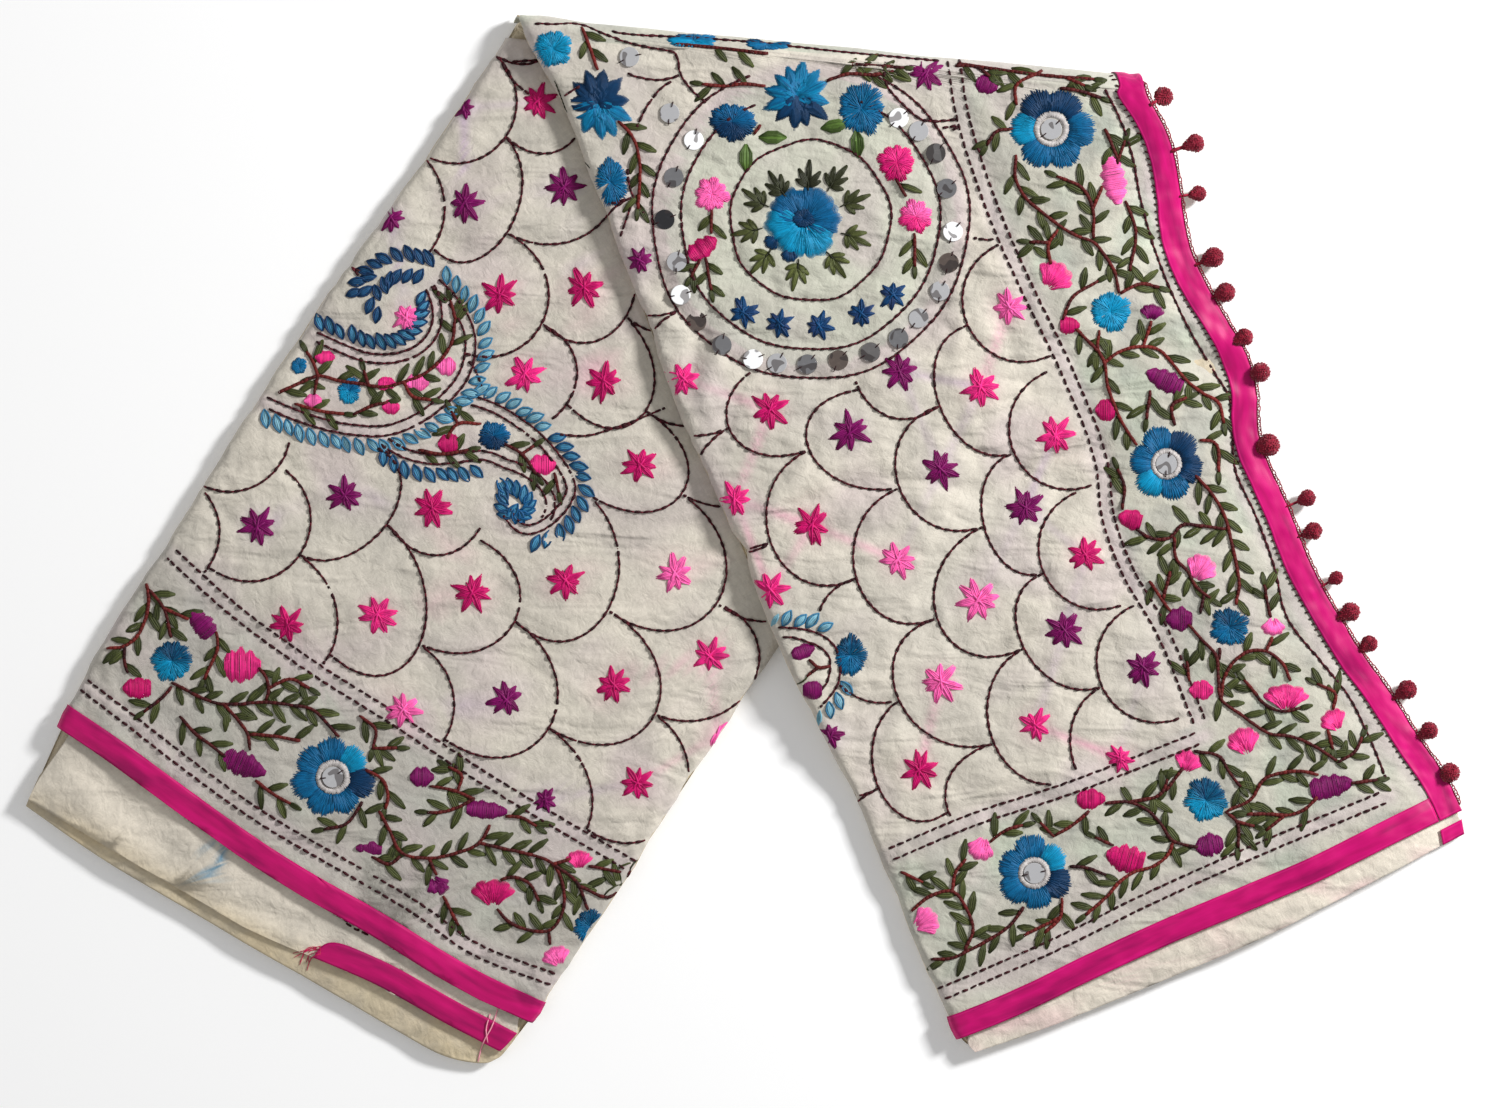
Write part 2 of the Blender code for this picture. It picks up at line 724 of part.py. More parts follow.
def add_pompom(solid, centre, root, number):
    """A ball of three-sided locks on a stem that runs back to its root in the braid."""
    turn = Euler((number * 1.7, number * 0.9, number * 2.3)).to_matrix()
    made = bmesh.ops.create_icosphere(solid, subdivisions=1, radius=POMPOM_CORE_RADIUS * MM)
    for vert in made["verts"]:
        vert.co = turn @ vert.co + centre * MM
    faces = {face for vert in made["verts"] for face in vert.link_faces}
    toward = (root - centre).normalized()
    ordered = sorted(faces, key=lambda face: -facing(face, centre).dot(toward))
    stem = ordered[0]
    locks = ordered[-POMPOM_LOCKS:]
    for face in locks:
        direction = facing(face, centre)
        tip = extruded_tip(solid, face)
        middle = centre * MM + direction * POMPOM_RADIUS * MM
        shrink_to(tip, middle, LOCK_TIP)
    tip = extruded_tip(solid, stem)
    size = STEM_HALF_WIDTH / (POMPOM_CORE_RADIUS * 0.6)
    shrink_to(tip, root * MM, size)


def facing(face, centre):
    return (face.calc_center_median() - centre * MM).normalized()


def extruded_tip(solid, face):
    return bmesh.ops.extrude_discrete_faces(solid, faces=[face])["faces"][0]


def shrink_to(face, middle, size):
    """Move a face's corners round a new middle, scaled."""
    old_middle = face.calc_center_median()
    for vert in face.verts:
        vert.co = middle + (vert.co - old_middle) * size


def add_pompom_trims(leg_grid, collection, cutters):
    """The braid just off the ribbon's edge, in its two lengths, each with its own pompoms."""
    points, lengths = edge_line(leg_grid)
    stretches = (
        ("pompom_trim_upper", 0.0, BRAID_JOIN),
        ("pompom_trim_lower", BRAID_JOIN + BRAID_BUTT, lengths[-1]),
    )
    for name, start, end in stretches:
        line = [along_edge(points, lengths, start)[0]]
        line += [point for point, length in zip(points, lengths) if start < length < end]
        line.append(along_edge(points, lengths, end)[0])
        pompoms = bmesh.new()
        for number, (distance, reach) in enumerate(POMPOMS):
            if start <= distance <= end:
                point, outward = along_edge(points, lengths, distance)
                add_pompom_on_stem(pompoms, point, outward, reach, number)
        bmesh.ops.recalc_face_normals(pompoms, faces=pompoms.faces[:])
        trim = object_from_mesh(name, braid_mesh(line), YARN, collection)
        tufts = object_from_mesh(name + "_tufts", pompoms, YARN, cutters)
        tufts.hide_render = True
        tufts.display_type = "WIRE"
        join = trim.modifiers.new("tufts", "BOOLEAN")
        join.operation = "UNION"
        join.solver = "EXACT"
        join.object = tufts


def braid_mesh(line):
    """A square strip along a line of the ribbon's outer edge, just clear of it."""
    braid = bmesh.new()
    rings = []
    for index, point in enumerate(line):
        run = line[min(index + 1, len(line) - 1)] - line[max(index - 1, 0)]
        outward = Vector((-run.y, run.x, 0.0)).normalized()
        near = point + outward * BRAID_GAP
        far = near + outward * BRAID_WIDTH
        top = Vector((0, 0, GAP))
        bottom = Vector((0, 0, GAP - BRAID_HEIGHT))
        corners = (near + bottom, far + bottom, far + top, near + top)
        rings.append([braid.verts.new(corner * MM) for corner in corners])
    for first, second in zip(rings, rings[1:]):
        for side in range(4):
            following = (side + 1) % 4
            braid.faces.new((first[side], first[following], second[following], second[side]))
    braid.faces.new(rings[0])
    braid.faces.new(rings[-1])
    bmesh.ops.recalc_face_normals(braid, faces=braid.faces[:])
    return braid


def add_pompom_on_stem(pompoms, point, outward, reach, number):
    """Hang a pompom from the braid at a point of the edge, just clear of the surface."""
    root = point + outward * (BRAID_GAP + BRAID_WIDTH / 2)
    root.z += GAP - BRAID_HEIGHT / 2
    fall = math.sqrt(max(STEM_SLACK ** 2 - reach ** 2, 0.0))
    centre = point + outward * reach
    centre.z = max(root.z - fall, POMPOM_RADIUS + FLOOR_CLEARANCE)
    add_pompom(pompoms, centre, root, number)


def new_collection(name):
    collection = bpy.data.collections.new(name)
    bpy.context.scene.collection.children.link(collection)
    return collection


def main():
    for old in list(bpy.data.objects):
        bpy.data.objects.remove(old)
    collection = new_collection(COLLECTION_NAME)
    cutters = new_collection("cutters")
    add_core(collection)
    add_body_layers(collection)
    leg_grid = add_pallu_layers(collection)
    add_pompom_trims(leg_grid, collection, cutters)


main()
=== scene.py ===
"""Cloth, embroidery, ribbons, pompoms, light and camera for a folded kantha saree.

The saree lies on the floor, seen from straight above: its left leg shows the body, and its right
leg, turned back over a slanting crease, shows the end piece.  Lengths are in metres unless a name
says otherwise.  Motifs are given by their place in the photograph, in its pixels, and are worked
thread by thread on the cloth that they lie on.
"""
import math
import random
from collections import namedtuple

import bmesh
import bpy
import numpy as np
from mathutils import Matrix, Vector, noise
from mathutils.bvhtree import BVHTree
from mathutils.kdtree import KDTree


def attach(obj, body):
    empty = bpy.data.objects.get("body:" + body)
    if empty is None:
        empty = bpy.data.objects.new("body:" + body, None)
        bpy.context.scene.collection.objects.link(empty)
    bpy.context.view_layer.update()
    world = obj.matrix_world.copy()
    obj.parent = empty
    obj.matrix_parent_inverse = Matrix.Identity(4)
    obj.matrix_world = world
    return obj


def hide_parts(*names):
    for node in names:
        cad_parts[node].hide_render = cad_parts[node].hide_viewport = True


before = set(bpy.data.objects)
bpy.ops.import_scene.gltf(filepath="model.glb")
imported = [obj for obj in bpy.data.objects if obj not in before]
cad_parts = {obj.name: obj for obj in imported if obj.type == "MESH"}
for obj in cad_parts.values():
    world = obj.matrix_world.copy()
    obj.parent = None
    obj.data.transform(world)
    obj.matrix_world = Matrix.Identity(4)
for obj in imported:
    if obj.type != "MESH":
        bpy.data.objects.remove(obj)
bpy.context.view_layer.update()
random.seed(11)
uniform = random.uniform

MM = 0.001

# The photograph: the real size of a pixel at the cloth, and the pixel over the origin.
PIXEL = 0.6 * MM
ORIGIN_PIXEL = (746.08, 540.83)

# Cloth: how near points are merged, the walls, and how a sheet is cut out and smoothed.
MERGE = 0.02 * MM
CLOTH_WALL = 0.9 * MM
RIBBON_WALL = 0.35 * MM
RIBBON_WIDTH = 15.0 * MM
UPPER_FACE = 0.9
STEEPEST_FACE = math.radians(58)
SMOOTHING_ROUNDS = 14
SKY = 0.2

# Pitches and lengths of stitches, and the most that one thread may climb.
STITCH_PITCH = 5.5 * MM
STITCH_LENGTH = 4.0 * MM
LINE_PITCH = STITCH_PITCH / 3
STEM_PITCH = 2.6 * MM
EDGE_PITCH = 1.5 * MM
COURSE_PITCH = 2 * MM
STEEPEST_THREAD = 6.5 * MM

# How each kind of thread lies: its radius, how far its middle stands up, how flat it is, how
# thick its tips are against its middle, and how deep they go into the cloth.
Thread = namedtuple("Thread", "radius rise flatness tips sink", defaults=(0.25 * MM,))
RUNNING = Thread(1.2 * MM, 0.55 * MM, 0.7, 0.66, 0.0)
LINKING = Thread(0.8 * MM, 0.3 * MM, 0.7, 0.9, 0.0)
HEMMING = Thread(0.66 * MM, 0.8 * MM, 0.8, 0.7, -0.4 * MM)
LEAF_SILK = Thread(0.78 * MM, 0.6 * MM, 0.65, 0.65, 0.0)
VINE = Thread(1.4 * MM, 0.6 * MM, 0.8, 0.7, -0.25 * MM)
SPRIG_STEM = VINE._replace(radius=0.7 * MM)
FINE_LINE = VINE._replace(radius=0.4 * MM)
STAR_MIDDLE = Thread(0.68 * MM, 1.0 * MM, 0.7, 0.6, 0.05 * MM)
STAR_SIDE = STAR_MIDDLE._replace(rise=0.75 * MM)
STAR_CROSS = Thread(0.85 * MM, 1.3 * MM, 0.8, 0.6, -0.2 * MM)
RING_PETAL = Thread(0.5 * MM, 0.95 * MM, 0.8, 0.55)
PALE_RING = Thread(0.42 * MM, 0.85 * MM, 0.8, 0.6)
ROUND_PETAL = Thread(0.48 * MM, 0.9 * MM, 0.8, 0.55)
POINTED_PETAL = Thread(0.5 * MM, 0.95 * MM, 0.8, 0.5)
FAN_PETAL = Thread(0.47 * MM, 0.85 * MM, 0.8, 0.5)
BUD_SILK = Thread(0.46 * MM, 0.9 * MM, 0.8, 0.6)
LOOP_SIDE = Thread(0.85 * MM, 0.6 * MM, 0.8, 0.65, 0.0)
LOOP_FILLING = Thread(0.82 * MM, 0.3 * MM, 0.7, 0.55, 0.0)

# Threads that don't lie on the cloth.
MIRROR_HOLDER = Thread(0.5 * MM, 0.0, 0.8, 0.7)
FOLD_ROLL = Thread(0.7 * MM, 0.0, 0.9, 0.95)
TUFT = Thread(0.6 * MM, 0.0, 1.0, 0.6)
THICK_STEM = Thread(1.25 * MM, 0.0, 1.0, 0.95)
THIN_STEM = Thread(0.85 * MM, 0.0, 1.0, 0.95)
BRAID_CORD = Thread(0.55 * MM, 0.0, 1.0, 0.9)
BRAID_LOOP = Thread(0.44 * MM, 0.0, 1.0, 0.9)
FRAYED = Thread(0.26 * MM, 0.0, 1.0, 0.8)
YARN = Thread(0.42 * MM, 0.0, 1.0, 0.8)


def place(x, y):
    """The place of a pixel of the photograph, seen from above."""
    return Vector(((x - ORIGIN_PIXEL[0]) * PIXEL, (ORIGIN_PIXEL[1] - y) * PIXEL))


def places(points):
    return [place(x, y) for x, y in points]


def on_floor(point):
    """A place on the plan, as a point in space."""
    return Vector((point[0], point[1], 0.0))


def tree_of(points):
    """A search tree over places on the plan."""
    tree = KDTree(len(points))
    for index, point in enumerate(points):
        tree.insert(on_floor(point), index)
    tree.balance()
    return tree


def dye(red, green, blue):
    """A colour from its screen values, made linear."""
    return tuple(
        value / 12.92 if value <= 0.04045 else ((value + 0.055) / 1.055) ** 2.4
        for value in (red / 255, green / 255, blue / 255)
    )


def varied(first, second, share):
    """A colour between two."""
    return tuple(a + (b - a) * share for a, b in zip(first, second))


# Colours of the threads.
MAROON_BLACK = dye(42, 12, 18)
MAROON = dye(92, 24, 36)
STEM_BROWN = dye(112, 34, 30)
MAGENTA = dye(200, 14, 104)
PINK = dye(232, 40, 130)
LIGHT_PINK = dye(255, 104, 180)
PURPLE = dye(122, 6, 92)
NAVY = dye(0, 50, 88)
STAR_NAVY = dye(0, 62, 108)
BLUE = dye(0, 90, 138)
CYAN = dye(0, 138, 182)
DEEP_BLUE = dye(20, 52, 90)
MID_BLUE = dye(30, 76, 116)
STRONG_BLUE = dye(16, 84, 132)
STEEL_BLUE = dye(62, 126, 162)
PALE_BLUE = dye(122, 172, 190)
LEAF = dye(62, 68, 34)
DARK_LEAF = dye(40, 42, 26)
LIGHT_LEAF = dye(98, 106, 54)
BROAD_LEAF = dye(84, 112, 48)
CREAM = dye(204, 196, 198)
CRIMSON = dye(158, 14, 50)
DEEP_CRIMSON = dye(108, 4, 34)
FRAYED_PINK = dye(196, 24, 84)
YARN_PINK = dye(232, 150, 170)

# Tints painted on the cloth.
BASE_CREAM = dye(219, 210, 196)
IVORY = dye(228, 220, 206)
YELLOWED_IVORY = dye(218, 198, 156)
SOILED_CREAM = dye(218, 204, 172)
SHADE_BEIGE = dye(208, 190, 156)
BORDER_GREY = dye(188, 187, 172)
BORDER_SHADE = dye(158, 160, 152)
BODY_BORDER = dye(176, 168, 164)
GREEN_TINT = dye(184, 193, 174)
HEM_TINT = dye(186, 174, 172)
LAVENDER = dye(200, 184, 184)
BLEED_PINK = dye(236, 168, 190)
BLEED_VIOLET = dye(196, 170, 196)
STAIN_BLUE = dye(88, 146, 178)

# Painted reflection of each mirror's glass: its metallic colour, with how much of it is metal.
PAINTED_MIRROR_REFLECTIONS = {
    "bright": (0.96, 0.97, 0.98, 0.0), "light": (0.66, 0.66, 0.68, 0.5),
    "grey": (0.42, 0.42, 0.44, 0.9), "dim": (0.42, 0.4, 0.4, 1.0),
    "brown": (0.34, 0.27, 0.24, 1.0), "dark": (0.1, 0.1, 0.11, 1.0),
}

# Stars inside the scales, as x, y, colour and radius.
RIGHT_STARS = [
    (925, 75, PURPLE, 15), (1008, 308, LIGHT_PINK, 16), (980, 388, PINK, 18),
    (1055, 435, PINK, 17), (900, 372, PURPLE, 16), (640, 262, PURPLE, 12),
    (683, 380, PINK, 16), (770, 410, MAGENTA, 17), (850, 432, PURPLE, 18),
    (940, 470, PURPLE, 18), (1025, 508, PURPLE, 18), (1085, 555, MAGENTA, 16),
    (735, 500, PINK, 16), (812, 525, MAGENTA, 17), (897, 560, LIGHT_PINK, 16),
    (978, 600, LIGHT_PINK, 19), (1065, 630, PURPLE, 18), (1143, 668, PURPLE, 17),
    (770, 590, PINK, 17), (940, 682, LIGHT_PINK, 18), (1035, 725, PINK, 14),
    (1120, 758, PINK, 12), (920, 770, MAGENTA, 17), (830, 735, PURPLE, 12),
]
LEFT_STARS = [
    (538, 102, MAGENTA, 16), (464, 108, PURPLE, 10), (465, 204, PURPLE, 17),
    (565, 187, PURPLE, 17), (391, 219, PURPLE, 12), (500, 295, MAGENTA, 17),
    (584, 288, MAGENTA, 17), (406, 317, LIGHT_PINK, 13), (525, 375, PINK, 17),
    (604, 382, MAGENTA, 17), (640, 465, MAGENTA, 17), (345, 495, PURPLE, 16),
    (432, 508, MAGENTA, 18), (258, 526, PURPLE, 17), (473, 592, MAGENTA, 18),
    (566, 581, MAGENTA, 17), (675, 574, LIGHT_PINK, 17), (288, 625, MAGENTA, 16),
    (378, 615, PINK, 18), (507, 699, PURPLE, 17), (613, 685, MAGENTA, 16),
    (710, 656, PINK, 16), (403, 710, LIGHT_PINK, 16), (637, 783, MAGENTA, 15),
    (718, 735, LIGHT_PINK, 14), (545, 800, PURPLE, 11),
]

# How the scales lie: which way an arc bulges in the photograph, and the sizes of its repeat.
RIGHT_SCALES = {"bulge": (-0.914, 0.406), "rise": 45, "row": 65, "half_chord": 61}
LEFT_SCALES = {"bulge": (0.82, 0.57), "rise": 51, "row": 68, "half_chord": 62}

# Single running lines that aren't scales.
RIGHT_LINES = [
    [(528, 25), (555, 26), (578, 25), (603, 35), (627, 44), (658, 51), (675, 54), (681, 77),
     (693, 93), (707, 105)],
    [(608, 32), (624, 35), (650, 37), (675, 38), (760, 44), (850, 54), (940, 62)],
    [(621, 73), (643, 80), (661, 82), (681, 77)],
    [(678, 80), (664, 88), (647, 109), (636, 132)],
    [(632, 206), (620, 240)],
    [(885, 60), (884, 82), (903, 107), (920, 121), (958, 121)],
    [(777, 627), (803, 629), (820, 634), (833, 644), (839, 656), (840, 672), (837, 686),
     (830, 696), (820, 707)],
    [(778, 637), (793, 637), (806, 641), (820, 647), (829, 656), (830, 669), (827, 682),
     (818, 693)],
    [(1103, 90), (1117, 117), (1129, 150), (1141, 205), (1161, 266), (1190, 330), (1214, 370),
     (1231, 401), (1233, 430), (1235, 467), (1256, 515), (1274, 564), (1288, 619), (1320, 660),
     (1352, 701), (1369, 736), (1386, 778)],
]
LEFT_LINES = [
    [(557, 434), (584, 436), (620, 426), (665, 408)],
    [(505, 62), (522, 61), (540, 60)],
    [(500, 60), (512, 80), (530, 95)],
]

# Borders: pairs of running lines, given by the line nearer the middle of the leg.
DOUBLE_STEP = 12
RIGHT_BORDERS = [
    [(947, 61), (953, 105), (975, 182), (998, 242), (1023, 297), (1064, 380), (1096, 466),
     (1102, 517), (1121, 571), (1156, 632), (1194, 724)],
    [(1202, 730), (1119, 763), (1057, 786), (974, 813), (885, 850)],
    [(1386, 790), (1265, 840), (1140, 896), (1057, 937), (933, 991)],
]
LEFT_BORDERS = [
    [(637, 862), (540, 805), (481, 769), (400, 715), (320, 665), (240, 607), (175, 549)],
    [(556, 974), (471, 940), (424, 906), (362, 869), (280, 822), (86, 679)],
]

# The fields of scales: an arc is only stitched inside its field, clear of the big motifs.
RIGHT_FIELD = [
    (480, 40), (948, 60), (953, 105), (975, 182), (998, 242), (1023, 297), (1064, 380),
    (1096, 466), (1102, 517), (1121, 571), (1156, 632), (1194, 724), (1119, 761), (1057, 784),
    (974, 811), (885, 848), (700, 900), (480, 400),
]
LEFT_FIELD = [
    (175, 549), (240, 607), (320, 665), (400, 715), (481, 769), (540, 805), (637, 862),
    (800, 900), (900, 600), (560, 0), (400, 0), (100, 500),
]
RIGHT_HOLES = [
    ((812, 225), 160), ((782, 668), 60), ((740, 60), 62), ((640, 120), 50), ((850, 70), 58),
]
LEFT_HOLES = [
    ((410, 318), 64), ((330, 398), 58), ((268, 400), 40), ((430, 428), 46), ((500, 438), 52),
    ((545, 490), 48), ((517, 514), 34),
]

# The line of running stitch on the layer under the body.
SECOND_LAYER_LINE = [(342, 921), (357, 930), (391, 944), (416, 960)]

# The round medallion on the end piece.
MEDALLION = (810, 222)
MEDALLION_INNER = 80
MEDALLION_RINGS = (129, 158)
MEDALLION_OPENING = (70, 112)
MIRROR_RADIUS = 6.0 * MM
# Mirrors of the ring, as x, y and the painted reflection that each one shows.
RING_MIRRORS = [
    (630, 59, "light"), (670, 115, "light"), (694, 142, "bright"), (674, 179, "grey"),
    (665, 221, "dark"), (677, 263, "light"), (681, 296, "bright"), (697, 322, "brown"),
    (722, 346, "grey"), (753, 360, "bright"), (777, 364, "light"), (807, 365, "grey"),
    (838, 361, "brown"), (870, 353, "dim"), (898, 339, "grey"), (918, 319, "light"),
    (939, 292, "light"), (948, 264, "brown"), (952, 233, "bright"), (946, 190, "grey"),
    (935, 155, "dim"), (918, 133, "light"), (898, 120, "bright"),
]

# Painted dark reflection, in patches on each mirror, for where it would face away from the light.
PAINTED_DARK_REFLECTION = (0.14, 0.12, 0.12)

# Petals of the medallion's big flower, as a side-on flower's row.
MIDDLE_PETALS = [
    (794, 241, 21, 21, 205, CYAN), (814, 241, 21, 20, 150, CYAN), (783, 226, 21, 21, -95, CYAN),
    (824, 221, 20, 20, 85, BLUE), (789, 208, 22, 20, -42, BLUE), (814, 205, 23, 19, 28, BLUE),
    (771, 244, 9, 8, 230, NAVY), (789, 257, 9, 8, 190, NAVY),
]

# Ring flowers with a mirror in the middle, as x, y, radius, turn and petal colours.
RIGHT_RING_FLOWERS = [
    (1050, 131, 43, 30, (NAVY, NAVY, CYAN, BLUE, BLUE, BLUE)),
    (1166, 464, 38, 20, (NAVY, BLUE, BLUE, CYAN, BLUE, NAVY)),
    (1034, 873, 39, 8, (CYAN, BLUE, BLUE, BLUE, BLUE, NAVY)),
]
LEFT_RING_FLOWERS = [(333, 777, 42, 15, (CYAN, BLUE, BLUE, BLUE, BLUE, BLUE, NAVY))]
RING_MIRROR_RADIUS = 6.4 * MM

# Round flowers stitched from the middle out, as x, y, radius, squash, petals, depth of
# the lobes, lower and upper colour.
RIGHT_ROUND_FLOWERS = [
    (1110, 312, 22, 1.0, 12, 0.14, CYAN, CYAN), (1229, 627, 21, 1.0, 10, 0.2, BLUE, NAVY),
    (1205, 800, 23, 1.0, 11, 0.16, CYAN, NAVY),
    (861, 111, 26, 1.05, 10, 0.2, BLUE, BLUE), (733, 124, 25, 0.84, 12, 0.16, NAVY, BLUE),
    (712, 196, 19, 1.0, 8, 0.34, LIGHT_PINK, LIGHT_PINK),
    (896, 164, 20, 1.0, 9, 0.24, MAGENTA, PINK), (915, 218, 19, 1.0, 8, 0.34, PINK, LIGHT_PINK),
    (554, 51, 20, 1.0, 10, 0.16, CYAN, CYAN), (611, 184, 18, 1.45, 9, 0.16, BLUE, BLUE),
    (850, 655, 17, 1.3, 9, 0.16, BLUE, NAVY), (693, 42, 26, 0.34, 8, 0.16, CYAN, BLUE),
    (767, 45, 24, 0.34, 8, 0.16, BLUE, NAVY),
]
LEFT_ROUND_FLOWERS = [
    (172, 661, 22, 1.0, 11, 0.16, CYAN, NAVY), (590, 926, 18, 1.0, 9, 0.16, BLUE, NAVY),
    (494, 436, 16, 1.0, 9, 0.16, NAVY, BLUE), (349, 391, 12, 1.35, 9, 0.2, CYAN, BLUE),
    (299, 366, 9, 1.0, 7, 0.2, BLUE, BLUE),
]

# The middle of the medallion's big flower, as a round flower.
FLOWER_MIDDLE = (803, 220, 13, 0.9, 7, 0.2, NAVY, NAVY)

# Flowers with pointed petals, as x, y, radius, petals, turn, upper and lower colour.
POINTED_FLOWERS = [(798, 98, 38, 12, 22, BLUE, NAVY), (599, 106, 38, 11, 10, NAVY, BLUE)]

# Side-on flowers, as x, y, half width, half height, turn, colour.
RIGHT_FAN_FLOWERS = [
    (1201, 568, 17, 15, 30, LIGHT_PINK), (1273, 627, 13, 10, 180, LIGHT_PINK),
    (980, 849, 15, 13, 200, LIGHT_PINK), (926, 921, 16, 14, 60, LIGHT_PINK),
    (1054, 277, 20, 16, 35, PINK), (1243, 741, 18, 15, -20, PINK), (1188, 761, 15, 12, 20, PINK),
    (1152, 312, 13, 9, 5, PURPLE), (1333, 720, 15, 12, -30, PINK), (1286, 697, 24, 14, 0, PINK),
]
LEFT_FAN_FLOWERS = [
    (493, 892, 23, 15, 0, MAGENTA), (579, 859, 14, 10, 0, PINK),
    (556, 956, 15, 11, -20, LIGHT_PINK),
    (438, 886, 13, 11, 150, PURPLE),
]

# Buds filled with straight satin stitch, as x, y, half width, half height, turn, colour and
# depth of the frill.
RIGHT_BUDS = [
    (986, 87, 10, 10, 20, PURPLE, 0.0), (1164, 380, 18, 12, 25, PURPLE, 0.14),
    (1105, 410, 9, 12, 0, MAGENTA, 0.0), (1069, 326, 9, 9, 0, MAGENTA, 0.0),
    (1130, 519, 11, 11, 15, MAGENTA, 0.1), (1179, 619, 12, 13, 0, PURPLE, 0.1),
    (1201, 690, 11, 11, 0, PINK, 0.1), (1331, 786, 20, 13, -12, PURPLE, 0.12),
    (1091, 799, 13, 11, 0, MAGENTA, 0.1), (1125, 858, 18, 15, 15, MAGENTA, 0.14),
    (1209, 845, 13, 13, -10, PURPLE, 0.1), (703, 249, 15, 11, -35, MAGENTA, 0.14),
    (803, 651, 11, 8, -20, PURPLE, 0.0), (811, 690, 10, 10, 0, PURPLE, 0.0),
    (1113, 182, 22, 14, 80, LIGHT_PINK, 0.18),
]
LEFT_BUDS = [
    (202, 624, 14, 12, 50, PURPLE, 0.1), (137, 688, 13, 12, 0, MAGENTA, 0.1),
    (245, 765, 21, 13, 22, PURPLE, 0.12), (422, 777, 11, 11, 0, PURPLE, 0.1),
    (487, 810, 19, 10, 5, PURPLE, 0.12), (369, 849, 12, 9, 5, PURPLE, 0.1),
    (543, 465, 12, 12, 0, PINK, 0.1), (448, 444, 9, 12, 0, MAGENTA, 0.0),
    (446, 366, 9, 10, 0, LIGHT_PINK, 0.1), (417, 383, 11, 10, 0, LIGHT_PINK, 0.1),
    (387, 384, 8, 8, 0, PINK, 0.0), (391, 407, 8, 8, 0, PINK, 0.0), (325, 357, 9, 8, 0, PINK, 0.1),
    (313, 401, 8, 8, 0, LIGHT_PINK, 0.0), (243, 665, 17, 18, 0, PINK, 0.12),
]

# Small navy stars under the medallion's middle.
MEDALLION_STARS = [(744, 314), (779, 325), (819, 327), (861, 315), (892, 296)]

# Leafy sprigs round the medallion's middle, as x, y and heading.
SPRIGS = [
    (783, 195, 125), (808, 188, 86), (830, 188, 55), (845, 206, 20), (846, 236, -18),
    (830, 257, -50), (798, 266, -98), (768, 255, -130), (757, 231, 190), (764, 206, 150),
]

# The leaves of one sprig, as a turn from its heading and a length.
SPRIG_LEAVES = ((-64, 8.5 * MM), (-32, 12.0 * MM), (0, 15.0 * MM),
                (30, 12.5 * MM), (60, 9.0 * MM))

# Broad leaves by the medallion's middle, as x, y and heading.
BROAD_LEAVES = ((773, 139, 0), (746, 160, -90), (834, 128, 190), (857, 146, -85))

